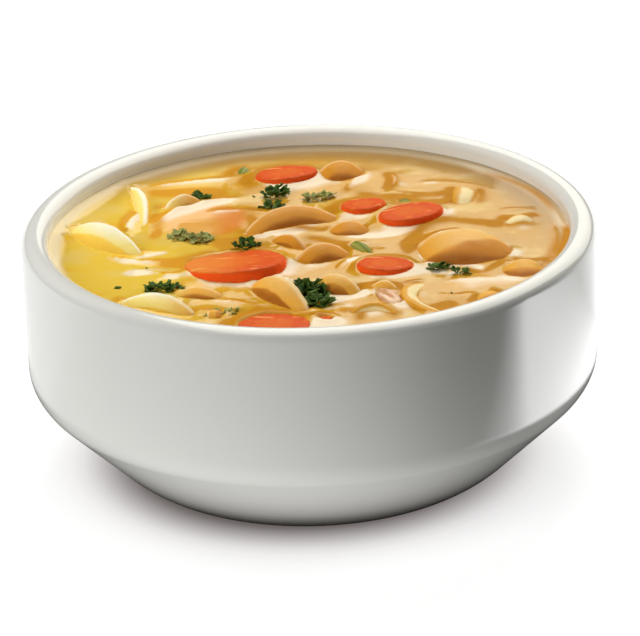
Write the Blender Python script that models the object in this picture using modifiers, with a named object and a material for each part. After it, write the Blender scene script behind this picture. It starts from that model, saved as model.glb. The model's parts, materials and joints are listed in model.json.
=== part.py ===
"""Chicken noodle soup in a white, straight-sided soup bowl.

The bowl is a turned piece: a flat foot ring, a 45 degree lower cone, a rounded
shoulder, an upright wall and a round lip.  The broth fills it to LEVEL and is
cut round every noodle, carrot slice, celery slice and shred of chicken that
breaks its surface.  The origin is on the surface the bowl stands on, at the
middle of the foot, with +Z up.
"""
import math
from dataclasses import dataclass

import bmesh
import bpy
from mathutils import Matrix, Vector

MM = 0.001

# Bowl, driving sizes
RIM_RADIUS = 65.0 * MM
BOWL_HEIGHT = 58.0 * MM
WALL = 6.0 * MM                 # wall thickness at the broth line, and width of the lip
LIP_RISE = 2.6 * MM             # height of the lip's rounding
SHOULDER_Z = 27.0 * MM          # where the upright wall ends
SHOULDER_RADIUS = 9.0 * MM
CONE_SLOPE = math.radians(45.0)
CONE_END_Z = 6.0 * MM           # where the cone starts to round into the foot
FOOT_RADIUS = 37.7 * MM
FOOT_SLOPE = math.radians(17.0)
FOOT_RING = 4.5 * MM            # width of the flat ring that the bowl stands on
FOOT_RECESS = 1.5 * MM          # depth of the recess inside the ring
RECESS_DRAFT = 1.0 * MM
INSIDE_BEND_Z = 30.0 * MM       # inside: where the upright wall starts to round to the floor
INSIDE_FLOOR_RADIUS = 28.0 * MM
INSIDE_FLOOR_Z = 8.0 * MM
TURN_STEPS = 40
LIP_STEPS = 6
SHOULDER_STEPS = 4
FOOT_STEPS = 4
INSIDE_STEPS = 5
MERGE_DISTANCE = 0.01 * MM      # joins the turned profile's ends on the axis

# Broth
LEVEL = BOWL_HEIGHT - 5.0 * MM
GAP = 0.3 * MM                  # space between touching solids

# Noodles, celery
NOODLE = 1.3 * MM               # thickness of a cooked egg noodle
CELERY = 1.9 * MM
CELL = 2.75 * MM                # length of one facet along a ribbon
FEWEST_CELLS = 5
NOODLE_ROWS = 3                 # facets across a ribbon
CELERY_ROWS = 2
CUTTER_ROWS = 2
CUTTER_GROW = 0.45 * MM         # how much a cutter is larger than its piece, on each side

# Carrots
CARROT_THICKNESS = 5.0 * MM
CARROT_EDGE = 0.7 * MM
CARROT_EDGE_STEPS = 2
CARROT_SIDES = 16
CARROT_OVAL = 0.02              # how far the outline of a slice departs from an ellipse,
CARROT_LOBES = 0.015            # as shares of its radius, with two and with three lobes

COLOURS = {
    "bowl": ((0.90, 0.90, 0.88), 0.12),
    "broth": ((0.78, 0.46, 0.12), 0.10),
    "noodle": ((0.86, 0.66, 0.30), 0.35),
    "carrot": ((0.85, 0.20, 0.04), 0.35),
    "celery": ((0.36, 0.40, 0.08), 0.35),
    "chicken": ((0.80, 0.60, 0.42), 0.50),
}


@dataclass
class Fold:
    """A stretch of ribbon that rises through the broth.

    Lengths are in mm and angles in degrees.  heading is the direction of its
    middle in plan, turn how far that direction swings from end to end, tilt how
    far the ribbon's left side is rolled up, twist how much the tilt changes
    from the middle to the end, rise the height of the middle over the broth and
    sink the depth of the ends under it.  lean lifts the far end and drops the
    near one, cup bulges the section outwards, and taper is the share of the
    width that is lost at the ends.
    """

    name: str
    x: float
    y: float
    heading: float
    length: float
    width: float
    tilt: float
    rise: float
    sink: float = 3.0
    turn: float = 0.0
    twist: float = 0.0
    lean: float = 0.0
    cup: float = 0.6
    taper: float = 0.15


NOODLES = (
    Fold("noodle_left_wave", -47.5, 1.4, -46, 25, 9.0, 42, 0.4, turn=8, lean=-0.6, cup=0.9, taper=0.35),
    Fold("noodle_left_ridge", -39.3, 24.0, -85, 28, 6.0, 66, -1.1, turn=-30, twist=-16, cup=0.3),
    Fold("noodle_back_left_arch", -29.0, 24.0, 25, 9.5, 5.0, 50, 0.2, turn=-50),
    Fold("noodle_centre_arch", -3.9, 9.8, 20, 23, 9.0, 42, 0.7, turn=-58, cup=1.4),
    Fold("noodle_centre_leaf", 9.2, 4.2, -5, 12.5, 5.6, 26, 0.6, turn=-20, taper=0.45),
    Fold("noodle_bow_left", -4.8, -2.4, -40, 12, 5.0, 50, 0.4, turn=-40),
    Fold("noodle_bow_right", 3.0, -11.6, 14, 13.5, 7.5, 42, 0.6, turn=-60, cup=1.2),
    Fold("noodle_petal", -8.2, -33.2, -56, 18.5, 9.5, 50, 0.3, lean=-0.8, taper=0.3, cup=1.4),
    Fold("noodle_round_lobe", 5.1, -30.2, -20, 12, 7.5, 44, 0.6, turn=-75, cup=1.3),
    Fold("noodle_right_fold", 34.8, -10.4, -10, 20.5, 13.0, 28, 0.8, turn=-35, cup=2.6, taper=0.2),
    Fold("noodle_right_lens", 46.6, -22.8, -8, 10.4, 6.0, 24, -0.1, turn=30, taper=0.6),
    Fold("noodle_right_tip", 48.2, 7.5, 8, 8.5, 4.4, 16, 0.2, sink=2.0, taper=0.5),
    Fold("noodle_back_right_loop", 36.4, 25.0, 82, 13, 5.5, 18, 0.2, turn=30),
    Fold("noodle_back_arch", 8.0, 39.2, 5, 11.5, 8.5, 34, 0.6, turn=-40, cup=1.4),
    Fold("noodle_back_edge", 19.8, 36.4, -88, 13, 4.0, 60, -1.0, turn=-60, cup=0.2),
    Fold("noodle_front_curl", 13.4, -41.4, -8, 16, 3.6, 62, -0.7, turn=-150, cup=0.2),
    Fold("noodle_front_fold", 16.0, -30.6, -6, 8.5, 4.6, 46, 0.2, turn=-40),
    Fold("noodle_front_ring", 21.8, -36.2, -80, 25, 4.6, -24, 0.2, sink=2.0, turn=180, cup=0.4),
    Fold("noodle_front_right_tip", 39.2, -36.8, 26, 8.5, 4.6, 14, 0.0, sink=2.0, taper=0.5),
    Fold("noodle_front_left_wave", -34.0, -37.6, -27, 18, 7.0, 52, -0.5, turn=-38, cup=0.8),
    Fold("noodle_front_left_strip", -25.3, -30.6, -14, 13.5, 4.4, 34, -0.1, turn=-16),
    Fold("noodle_front_left_tip", -20.9, -42.2, 86, 6.5, 3.8, 8, 0.5, taper=0.4),
)

CELERY_SLICES = (
    Fold("celery_centre", 10.6, -5.6, -58, 7.0, 4.2, 62, -0.2, sink=2.2, turn=60, cup=0.2),
    Fold("celery_back_right", 22.4, 21.2, 12, 5.0, 3.4, 50, -0.5, sink=2.0, turn=50, cup=0.2),
    Fold("celery_back_left", -14.4, 44.6, 65, 6.5, 4.0, 48, -0.4, sink=2.2, turn=50, cup=0.2),
)


@dataclass
class Slice:
    """A carrot slice: its middle, height of its top over the broth, size and tilts.

    The sizes and the height are in mm and the angles in degrees.  long and
    short are the two diameters and swing turns the long one in plan.  pitch
    lifts the far side, roll lifts the right side, and negative values lower
    them.
    """

    name: str
    x: float
    y: float
    top: float
    long: float
    short: float
    swing: float = 0.0
    pitch: float = 0.0
    roll: float = 0.0
    thick: float = CARROT_THICKNESS / MM


CARROTS = (
    Slice("carrot_centre", -16.4, -14.2, 1.6, 21.5, 20.0, swing=4, pitch=-9, roll=3),
    Slice("carrot_back", -6.0, 40.4, 1.5, 12.2, 10.0, swing=10, pitch=-4, roll=3),
    Slice("carrot_back_right", 12.8, 18.6, 1.6, 10.0, 8.0, swing=8, pitch=-6, roll=3),
    Slice("carrot_right", 23.4, 13.2, 1.7, 16.0, 9.6, swing=36, pitch=-4, roll=2),
    Slice("carrot_centre_right", 16.6, -17.6, 1.4, 12.3, 9.6, swing=-2, pitch=-6, roll=-2),
    Slice("carrot_front", -8.2, -49.2, 1.0, 16.5, 12.6, swing=-4, pitch=-2, roll=1),
    Slice("carrot_front_bit", 3.0, -46.6, 0.8, 4.2, 3.2, swing=-24, pitch=-4, thick=3.0),
)

CHICKEN = Vector((17.0, -35.8, 0.1)) * MM   # middle of the shred, from the broth's level
CHICKEN_SIZE = Vector((3.2, 2.0, 1.7)) * MM  # half sizes
CHICKEN_SWING = math.radians(-62.0)
CHICKEN_STRANDS = 5.0
CHICKEN_RIDGE = 0.08            # height of a strand, as a share of the shred's radius
CHICKEN_FADE = 3.0              # power with which the strands run out at the ends


def clear_scene():
    for item in list(bpy.data.objects):
        bpy.data.objects.remove(item, do_unlink=True)


def make_collection(name):
    collection = bpy.data.collections.new(name)
    bpy.context.scene.collection.children.link(collection)
    return collection


def make_material(name, kind):
    colour, roughness = COLOURS[kind]
    material = bpy.data.materials.new(name)
    material.use_nodes = True
    shader = material.node_tree.nodes["Principled BSDF"]
    shader.inputs["Base Color"].default_value = (*colour, 1.0)
    shader.inputs["Roughness"].default_value = roughness
    shader.inputs["Metallic"].default_value = 0.0
    return material


def add_object(name, mesh, collection, kind=None):
    item = bpy.data.objects.new(name, mesh)
    collection.objects.link(item)
    if kind:
        mesh.materials.append(make_material(name, kind))
    return item


def mark_cutter(item):
    item.hide_render = True
    item.display_type = "WIRE"


def arc(centre_r, centre_z, radius_r, radius_z, start, end, steps):
    """Points of an elliptic arc in the (r, z) plane, angles in radians."""
    points = []
    for step in range(steps + 1):
        angle = start + (end - start) * step / steps
        points.append((centre_r + radius_r * math.cos(angle), centre_z + radius_z * math.sin(angle)))
    return points


def quadratic(start, control, end, steps):
    """Points of a quadratic curve after its start."""
    points = []
    for step in range(1, steps + 1):
        t = step / steps
        points.append(tuple(
            (1 - t) ** 2 * a + 2 * t * (1 - t) * b + t * t * c
            for a, b, c in zip(start, control, end)))
    return points


def turned(name, profile, collection, kind=None):
    """A closed body turned from an open (r, z) profile whose ends lie on the axis."""
    mesh = bpy.data.meshes.new(name)
    edges = [(i, i + 1) for i in range(len(profile) - 1)]
    mesh.from_pydata([(r, 0.0, z) for r, z in profile], edges, [])
    item = add_object(name, mesh, collection, kind)
    screw = item.modifiers.new("turn", "SCREW")
    screw.steps = TURN_STEPS
    screw.render_steps = TURN_STEPS
    screw.use_merge_vertices = True
    screw.merge_threshold = MERGE_DISTANCE
    screw.use_smooth_shade = True
    return item


def inside_profile(shrink):
    """The bowl's inside from its upright wall down to the floor, moved in by shrink."""
    radius = RIM_RADIUS - WALL - shrink
    floor_radius = INSIDE_FLOOR_RADIUS
    floor_z = INSIDE_FLOOR_Z + shrink
    bend = arc(floor_radius, INSIDE_BEND_Z, radius - floor_radius, INSIDE_BEND_Z - floor_z,
               0.0, -math.pi / 2, INSIDE_STEPS)
    return bend + [(0.0, floor_z)]


def make_bowl(collection):
    lip_radius = WALL / 2
    lip_z = BOWL_HEIGHT - LIP_RISE
    inside = inside_profile(0.0)
    inside.reverse()
    lip = arc(RIM_RADIUS - lip_radius, lip_z, lip_radius, LIP_RISE, math.pi, 0.0, LIP_STEPS)
    shoulder = arc(RIM_RADIUS - SHOULDER_RADIUS, SHOULDER_Z, SHOULDER_RADIUS, SHOULDER_RADIUS,
                   0.0, -CONE_SLOPE, SHOULDER_STEPS)
    shoulder_end = shoulder[-1]
    cone_end = (shoulder_end[0] - (shoulder_end[1] - CONE_END_Z) / math.tan(CONE_SLOPE), CONE_END_Z)
    # The rounding into the foot starts along the cone and ends at FOOT_SLOPE.
    reach = cone_end[0] - FOOT_RADIUS - CONE_END_Z / math.tan(CONE_SLOPE)
    run = reach / (math.cos(FOOT_SLOPE) - math.sin(FOOT_SLOPE) / math.tan(CONE_SLOPE))
    control = (FOOT_RADIUS + run * math.cos(FOOT_SLOPE), run * math.sin(FOOT_SLOPE))
    foot = quadratic(cone_end, control, (FOOT_RADIUS, 0.0), FOOT_STEPS)
    ring_inside = FOOT_RADIUS - FOOT_RING
    under = [(ring_inside, 0.0), (ring_inside - RECESS_DRAFT, FOOT_RECESS), (0.0, FOOT_RECESS)]
    return turned("bowl", inside + lip + shoulder + [cone_end] + foot + under, collection, "bowl")


def make_broth(collection):
    top = [(0.0, LEVEL), (RIM_RADIUS - WALL - GAP, LEVEL)]
    return turned("broth", top + inside_profile(GAP), collection, "broth")


def fold_point(fold, along, across, grow):
    """A point on the middle surface of a ribbon; along and across run from -1 to 1."""
    length = fold.length * MM + 2 * grow
    swing = math.radians(fold.turn) * along / 2
    if fold.turn:
        radius = length / math.radians(fold.turn)
        forward = radius * math.sin(swing)
        sideways = radius * (1 - math.cos(swing))
    else:
        forward = length / 2 * along
        sideways = 0.0
    heading = math.radians(fold.heading)
    ahead = Vector((math.cos(heading), math.sin(heading), 0.0))
    left = Vector((-ahead.y, ahead.x, 0.0))
    local_left = left * math.cos(swing) - ahead * math.sin(swing)
    up = Vector((0.0, 0.0, 1.0))
    tilt = math.radians(fold.tilt + fold.twist * along)
    side = local_left * math.cos(tilt) + up * math.sin(tilt)
    outward = up * math.cos(tilt) - local_left * math.sin(tilt)
    half_width = (fold.width * MM / 2) * (1 - fold.taper * along ** 2) + grow
    height = fold.rise - (fold.rise + fold.sink) * along ** 2 + fold.lean * along
    bulge = fold.cup * (1 - across ** 2)
    middle = Vector((fold.x * MM, fold.y * MM, LEVEL + height * MM))
    middle += ahead * forward + left * sideways
    return middle + side * (across * half_width) + outward * (bulge * MM)


def make_ribbon(name, fold, thickness, grow, rows, collection, kind=None):
    """A ribbon solid: a grid laid on the fold's middle surface and given its thickness."""
    mesh = bpy.data.meshes.new(name)
    cells = max(FEWEST_CELLS, round(fold.length * MM / CELL))
    work = bmesh.new()
    bmesh.ops.create_grid(work, x_segments=cells, y_segments=rows, size=1.0)
    for vertex in work.verts:
        vertex.co = fold_point(fold, vertex.co.x, vertex.co.y, grow)
    work.to_mesh(mesh)
    work.free()
    mesh.shade_smooth()
    item = add_object(name, mesh, collection, kind)
    solid = item.modifiers.new("thickness", "SOLIDIFY")
    solid.thickness = thickness + 2 * grow
    solid.offset = 0.0
    return item


def make_slice(name, slice_, grow, collection, kind=None):
    """A carrot slice: a low cylinder with an uneven outline and softened edges."""
    mesh = bpy.data.meshes.new(name)
    thick = slice_.thick * MM
    work = bmesh.new()
    bmesh.ops.create_cone(work, cap_ends=True, cap_tris=False, segments=CARROT_SIDES,
                          radius1=1.0, radius2=1.0, depth=thick + 2 * grow)
    phase = slice_.x
    for vertex in work.verts:
        angle = math.atan2(vertex.co.y, vertex.co.x)
        uneven = 1 + CARROT_OVAL * math.sin(2 * angle + phase)
        uneven += CARROT_LOBES * math.sin(3 * angle + 2 * phase)
        vertex.co.x *= uneven * (slice_.long * MM / 2 + grow)
        vertex.co.y *= uneven * (slice_.short * MM / 2 + grow)
    work.to_mesh(mesh)
    work.free()
    item = add_object(name, mesh, collection, kind)
    item.location = (slice_.x * MM, slice_.y * MM, LEVEL + slice_.top * MM - thick / 2)
    item.rotation_euler = (
        Matrix.Rotation(math.radians(slice_.pitch), 3, "X")
        @ Matrix.Rotation(math.radians(-slice_.roll), 3, "Y")
        @ Matrix.Rotation(math.radians(slice_.swing), 3, "Z")).to_euler()
    if not grow:
        edge = item.modifiers.new("edge", "BEVEL")
        edge.width = CARROT_EDGE
        edge.segments = CARROT_EDGE_STEPS
        edge.limit_method = "ANGLE"
        mesh.shade_smooth()
    return item


def make_chicken(name, grow, collection, kind=None):
    """A shred of meat: a long lump whose strands run from end to end."""
    mesh = bpy.data.meshes.new(name)
    work = bmesh.new()
    bmesh.ops.create_icosphere(work, subdivisions=2, radius=1.0)
    for vertex in work.verts:
        strand = math.atan2(vertex.co.z, vertex.co.y)
        fade = 1 - abs(vertex.co.x) ** CHICKEN_FADE
        ridge = 1 + CHICKEN_RIDGE * math.cos(CHICKEN_STRANDS * strand) * fade
        vertex.co.x *= CHICKEN_SIZE.x + grow
        vertex.co.y *= (CHICKEN_SIZE.y + grow) * ridge
        vertex.co.z *= (CHICKEN_SIZE.z + grow) * ridge
    work.to_mesh(mesh)
    work.free()
    mesh.shade_smooth()
    item = add_object(name, mesh, collection, kind)
    item.location = CHICKEN + Vector((0.0, 0.0, LEVEL))
    item.rotation_euler = (0.0, 0.0, CHICKEN_SWING)
    return item


def cut(target, cutter):
    mark_cutter(cutter)
    boolean = target.modifiers.new(cutter.name, "BOOLEAN")
    boolean.operation = "DIFFERENCE"
    boolean.solver = "EXACT"
    boolean.object = cutter


def main():
    clear_scene()
    parts = make_collection("chicken_noodle_soup")
    cutters = make_collection("cutters")
    make_bowl(parts)
    broth = make_broth(parts)
    for fold in NOODLES:
        make_ribbon(fold.name, fold, NOODLE, 0.0, NOODLE_ROWS, parts, "noodle")
        cut(broth, make_ribbon("cut_" + fold.name, fold, NOODLE, CUTTER_GROW, CUTTER_ROWS, cutters))
    for fold in CELERY_SLICES:
        make_ribbon(fold.name, fold, CELERY, 0.0, CELERY_ROWS, parts, "celery")
        cut(broth, make_ribbon("cut_" + fold.name, fold, CELERY, CUTTER_GROW, CUTTER_ROWS, cutters))
    for slice_ in CARROTS:
        make_slice(slice_.name, slice_, 0.0, parts, "carrot")
        cut(broth, make_slice("cut_" + slice_.name, slice_, CUTTER_GROW, cutters))
    make_chicken("chicken_shred", 0.0, parts, "chicken")
    cut(broth, make_chicken("cut_chicken_shred", CUTTER_GROW, cutters))


main()
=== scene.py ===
"""Chicken noodle soup in a white soup bowl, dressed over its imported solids.

Run it as a script in Blender 4.5.  Each piece of the dish has an operator, and
the 3D view's sidebar has a panel with the sizes, the colours and the operators.
"""

import json
import math
import random
from collections import namedtuple

import bmesh
import bpy
from bpy.props import FloatProperty, FloatVectorProperty, IntProperty, PointerProperty
from mathutils import Matrix, Quaternion, Vector, noise
from mathutils.bvhtree import BVHTree
from mathutils.kdtree import KDTree

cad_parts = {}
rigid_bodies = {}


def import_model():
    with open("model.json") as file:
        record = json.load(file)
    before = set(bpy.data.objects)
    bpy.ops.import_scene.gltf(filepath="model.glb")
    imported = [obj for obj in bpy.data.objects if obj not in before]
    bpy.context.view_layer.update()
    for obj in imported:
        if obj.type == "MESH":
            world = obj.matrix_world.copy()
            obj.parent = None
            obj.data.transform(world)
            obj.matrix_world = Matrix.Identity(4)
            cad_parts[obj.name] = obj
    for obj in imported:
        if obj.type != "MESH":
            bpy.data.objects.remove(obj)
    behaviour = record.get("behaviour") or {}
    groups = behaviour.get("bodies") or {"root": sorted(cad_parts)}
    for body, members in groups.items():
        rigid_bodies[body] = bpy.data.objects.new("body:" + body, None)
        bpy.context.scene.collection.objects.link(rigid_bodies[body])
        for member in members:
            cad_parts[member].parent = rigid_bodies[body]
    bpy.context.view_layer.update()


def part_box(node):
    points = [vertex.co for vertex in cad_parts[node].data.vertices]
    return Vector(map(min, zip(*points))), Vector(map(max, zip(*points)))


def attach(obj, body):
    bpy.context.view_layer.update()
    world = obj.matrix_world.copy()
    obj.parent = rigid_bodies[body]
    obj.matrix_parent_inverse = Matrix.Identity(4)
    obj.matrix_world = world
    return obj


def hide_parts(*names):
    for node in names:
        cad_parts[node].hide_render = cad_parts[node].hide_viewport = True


bl_info = {
    "name": "Chicken noodle soup",
    "version": (1, 0, 0),
    "blender": (4, 5, 0),
    "location": "View3D > Sidebar > Soup",
    "description": "Builds a bowl of chicken noodle soup, piece by piece",
    "category": "Object",
}

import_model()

MM = 0.001
BODY = "root"
UP = Vector((0.0, 0.0, 1.0))
RIM_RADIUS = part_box("bowl")[1][0]
BOWL_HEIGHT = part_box("bowl")[1][2]
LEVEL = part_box("broth")[1][2]


# ---------------------------------------------------------------- properties

def length(name, description, default, **limits):
    """A property that holds a length in metres."""
    return FloatProperty(name=name, description=description, default=default, unit="LENGTH",
                         subtype="DISTANCE", precision=5, **limits)


def colour(name, description, default):
    """A property that holds a linear colour."""
    return FloatVectorProperty(name=name, description=description, default=default, size=3,
                               subtype="COLOR", min=0.0, max=1.0)


class SoupSizes(bpy.types.PropertyGroup):
    """Sizes of the bowl, the broth and its garnish."""

    wall: length("Wall", "Thickness of the bowl's wall and width of its lip", 6.0 * MM, min=0.001)
    lip_rise: length("Lip rise", "Height of the lip's rounding", 2.6 * MM, min=0.0)
    shoulder_z: length("Shoulder", "Height at which the upright wall ends", 27.0 * MM, min=0.0)
    shoulder_radius: length("Shoulder radius", "Rounding between wall and cone", 9.0 * MM, min=0.0)
    foot_radius: length("Foot radius", "Outer radius of the foot ring", 37.7 * MM, min=0.0)
    noodle: length("Noodle", "Thickness of a cooked egg noodle", 1.3 * MM, min=0.0)
    celery: length("Celery", "Thickness of a celery slice", 1.9 * MM, min=0.0)
    climb: length("Meniscus", "How far the broth climbs up an upright face", 1.25 * MM, min=0.0)
    reach: length("Meniscus reach", "Distance over which the climb dies away", 2.2 * MM, min=0.0001)
    skin_cell: length("Skin cell", "Size of a facet of the broth's surface", 0.5 * MM, min=0.0002)
    leaf: length("Leaf", "Length of a large parsley leaflet", 2.4 * MM, min=0.0)
    turn_steps: IntProperty(name="Turn steps", description="Facets round the bowl", default=192, min=24)


class SoupColours(bpy.types.PropertyGroup):
    """Colours of the bowl, the broth and its garnish."""

    glaze: colour("Glaze", "White glaze of the bowl", (0.83, 0.83, 0.79))
    broth_amber: colour("Broth, amber", "Clear broth over depth", (0.74, 0.38, 0.025))
    broth_yellow: colour("Broth, yellow", "Cloudy broth over noodles", (0.99, 0.67, 0.08))
    broth_cream: colour("Broth, cream", "Film that catches the light", (0.98, 0.84, 0.62))
    # noodle_pale is painted light on the noodles' high parts and their painted highlight along the upper
    # edge.
    noodle_pale: colour("Noodle, pale", "Upper edges of the noodles", (0.95, 0.77, 0.44))
    noodle_gold: colour("Noodle, golden", "Faces of the noodles", (0.86, 0.44, 0.06))
    noodle_hollow: colour("Noodle, hollow", "Noodle on its shaded side", (0.38, 0.12, 0.012))
    noodle_soaked: colour("Noodle, soaked", "Noodle at the waterline", (0.48, 0.17, 0.02))
    carrot_face: colour("Carrot, face", "Cut face of a carrot slice", (0.66, 0.085, 0.010))
    carrot_side: colour("Carrot, side", "Outside of a carrot slice", (0.92, 0.11, 0.016))
    celery_flesh: colour("Celery", "Flesh of the celery", (0.23, 0.27, 0.035))
    parsley_leaf: colour("Parsley", "Leaf of the parsley", (0.030, 0.105, 0.008))
    chicken_meat: colour("Chicken", "Shredded meat", (0.85, 0.58, 0.36))


# ------------------------------------------------------------------- shaders

class Wire:
    """A socket of a material, on which arithmetic adds Math nodes."""

    def __init__(self, shader, socket):
        self.shader = shader
        self.socket = socket

    def maths(self, operation, *operands):
        return self.shader.node("ShaderNodeMath", {"operation": operation}, dict(enumerate(operands)))

    def __add__(self, other):
        return self.maths("ADD", self, other)

    __radd__ = __add__

    def __sub__(self, other):
        return self.maths("SUBTRACT", self, other)

    def __rsub__(self, other):
        return self.maths("SUBTRACT", other, self)

    def __mul__(self, other):
        return self.maths("MULTIPLY", self, other)

    __rmul__ = __mul__

    def __truediv__(self, other):
        return self.maths("DIVIDE", self, other)

    def __rtruediv__(self, other):
        return self.maths("DIVIDE", other, self)

    def __pow__(self, other):
        return self.maths("POWER", self, other)

    def __abs__(self):
        return self.maths("ABSOLUTE", self)

    def sine(self):
        return self.maths("SINE", self)

    def angle(self, run):
        """The angle in radians of a line that rises by this over a run."""
        return self.maths("ARCTAN2", self, run)

    def clamp(self):
        return self.shader.node("ShaderNodeClamp", {}, {0: self})


def span(x, y):
    """The length of the way with these two parts."""
    return (x * x + y * y) ** 0.5


def stops(table, low, high, tint=(1.0, 1.0, 1.0)):
    """A ramp's stops, from a table of places between low and high with their levels.

    Where tint is over 1, that part of the colour fades sooner than the level.
    """
    return [((place - low) / (high - low), tuple(level ** power for power in tint))
            for place, level in table]


class Shader:
    """A material under construction, with its surface node already in place."""

    def __init__(self, name, surface="ShaderNodeBsdfPrincipled"):
        self.material = bpy.data.materials.new(name)
        self.material.use_nodes = True
        self.tree = self.material.node_tree
        self.tree.nodes.clear()
        self.surface = self.tree.nodes.new(surface)
        self.output = self.tree.nodes.new("ShaderNodeOutputMaterial")
        self.tree.links.new(self.surface.outputs[0], self.output.inputs["Surface"])

    def plug(self, socket, value):
        if isinstance(value, Wire):
            self.tree.links.new(value.socket, socket)
        elif socket.type == "RGBA" and len(value) == 3:
            socket.default_value = (*value, 1.0)
        else:
            socket.default_value = value

    def set(self, **values):
        """Sets or links the surface's sockets; an underscore stands for a space."""
        for key, value in values.items():
            self.plug(self.surface.inputs[key.replace("_", " ")], value)

    def node(self, kind, settings, values, output=0):
        """Any other node: its settings first, then the values or links of its sockets."""
        made = self.tree.nodes.new(kind)
        for key, value in settings.items():
            if key == "stops":
                ramp = made.color_ramp
                while len(ramp.elements) < len(value):
                    ramp.elements.new(0.5)
                for element, (place, tint) in zip(ramp.elements, value):
                    element.position = place
                    element.color = (*tint, 1.0)
            else:
                setattr(made, key, value)
        for key, value in values.items():
            self.plug(made.inputs[key], value)
        return Wire(self, made.outputs[output])

    def here(self):
        """The object's own coordinates."""
        return self.node("ShaderNodeTexCoord", {}, {}, "Object")

    def part(self, vector, index):
        return self.node("ShaderNodeSeparateXYZ", {}, {0: vector}, index)

    def place(self, index):
        """The place along one axis of the row frame."""
        return self.part(self.node("ShaderNodeNewGeometry", {}, {}, "Position"), index)

    def rise(self):
        """The height over the broth."""
        return self.place(2) - LEVEL

    def facing(self, index):
        """How far the surface faces along one axis, from -1 to 1."""
        return self.part(self.node("ShaderNodeNewGeometry", {}, {}, "Normal"), index)

    def chart(self, index):
        """One coordinate of the mesh's own chart."""
        return self.part(self.node("ShaderNodeUVMap", {"uv_map": "chart"}, {}), index)

    def noise(self, scale, detail=2.0, stretch=None):
        """Soft noise from 0 to 1, drawn out along the axes where stretch is below 1."""
        place = self.here()
        if stretch:
            place = self.node("ShaderNodeVectorMath", {"operation": "MULTIPLY"}, {0: place, 1: stretch})
        return self.node("ShaderNodeTexNoise", {}, {"Vector": place, "Scale": scale, "Detail": detail}, "Fac")

    def step(self, value, low, high):
        """0 below low, 1 above high, smooth between; low may be the larger one."""
        return self.node("ShaderNodeMapRange", {"interpolation_type": "SMOOTHSTEP"}, {
            "Value": value, "From Min": low, "From Max": high, "To Min": 0.0, "To Max": 1.0})

    def mix(self, factor, first, second, blend="MIX"):
        """One colour over another."""
        return self.node("ShaderNodeMix", {"data_type": "RGBA", "blend_type": blend}, {
            0: factor, 6: first, 7: second}, 2)

    def layers(self, tone, *coats):
        """A tone with coats of other colours over it, each as thick as its factor says."""
        for factor, tint in coats:
            tone = self.mix(factor, tone, tint)
        return tone

    def ramp(self, factor, steps):
        return self.node("ShaderNodeValToRGB", {"stops": steps}, {0: factor})

    def bump(self, height, distance, strength=1.0):
        made = self.node("ShaderNodeBump", {}, {
            "Strength": strength, "Distance": distance, "Height": height})
        self.set(Normal=made)

    def show(self, factor, values):
        """Shows a second surface in place of the first, by a factor from 0 to 1."""
        second = self.node("ShaderNodeBsdfPrincipled", {}, values)
        first = Wire(self, self.surface.outputs[0])
        self.plug(self.output.inputs["Surface"],
                  self.node("ShaderNodeMixShader", {}, {0: factor, 1: first, 2: second}))


# -------------------------------------------------------------------- meshes

def add_piece(name, mesh, slot, material, *nodes):
    """Puts a finished mesh into the scene as a piece of the dish."""
    item = bpy.data.objects.new(name, mesh)
    bpy.context.scene.collection.objects.link(item)
    if material:
        mesh.materials.append(material)
    if nodes:
        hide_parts(*nodes)
    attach(item, BODY)
    return item


WOBBLE_SHIFTS = (Vector((0.0, 0.0, 0.0)), Vector((31.7, 5.3, 11.9)), Vector((7.1, 47.3, 23.9)))


def wobble(point, size, depth):
    """A smooth, uneven shift of a point: waves of one size, and how deep they are."""
    return Vector([noise.noise(point / size + shift) for shift in WOBBLE_SHIFTS]) * depth


def mesh_from(work, name, smooth=True, chart=None):
    """The mesh of a bmesh that is done with; chart gives the chart coordinates of its vertices."""
    layer = work.loops.layers.uv.new("chart") if chart else None
    for face in work.faces:
        face.smooth = smooth
        for loop in face.loops if chart else ():
            loop[layer].uv = chart(loop.vert)
    mesh = bpy.data.meshes.new(name)
    work.to_mesh(mesh)
    work.free()
    return mesh


def loft(name, rings):
    """A closed, smooth mesh through rings of points, with a fan over each end.

    Each point comes with its place on the mesh's chart.
    """
    work = bmesh.new()
    rows = [[work.verts.new(point) for point, _ in ring] for ring in rings]
    chart = {vertex: place for row, ring in zip(rows, rings) for vertex, (_, place) in zip(row, ring)}
    count = len(rows[0])
    for low, high in zip(rows, rows[1:]):
        for k in range(count):
            j = (k + 1) % count
            work.faces.new((low[k], low[j], high[j], high[k]))
    for row in (rows[0], rows[-1]):
        middle = work.verts.new(sum((vertex.co for vertex in row), Vector()) / count)
        chart[middle] = chart[row[0]]
        for k in range(count):
            work.faces.new((row[k], row[(k + 1) % count], middle))
    bmesh.ops.recalc_face_normals(work, faces=work.faces)
    return mesh_from(work, name, chart=chart.get)


def turned(name, profile, steps):
    """A smooth mesh turned from an (r, z) profile whose ends lie on the axis."""
    work = bmesh.new()
    start, end = (work.verts.new((0.0, 0.0, z)) for _, z in (profile[0], profile[-1]))
    lines = []
    for step in range(steps):
        angle = 2 * math.pi * step / steps
        line = [work.verts.new((r * math.cos(angle), r * math.sin(angle), z)) for r, z in profile[1:-1]]
        lines.append([start, *line, end])
    for first, second in zip(lines, lines[1:] + lines[:1]):
        for k in range(len(profile) - 1):
            work.faces.new(tuple(dict.fromkeys((first[k], second[k], second[k + 1], first[k + 1]))))
    bmesh.ops.recalc_face_normals(work, faces=work.faces)
    return mesh_from(work, name)


def arc(centre_r, centre_z, radius_r, radius_z, start, end, steps):
    """Points of an elliptic arc in the (r, z) plane, angles in radians."""
    angles = [start + (end - start) * step / steps for step in range(steps + 1)]
    return [(centre_r + radius_r * math.cos(angle), centre_z + radius_z * math.sin(angle))
            for angle in angles]


# ---------------------------------------------------------------------- bowl

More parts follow.
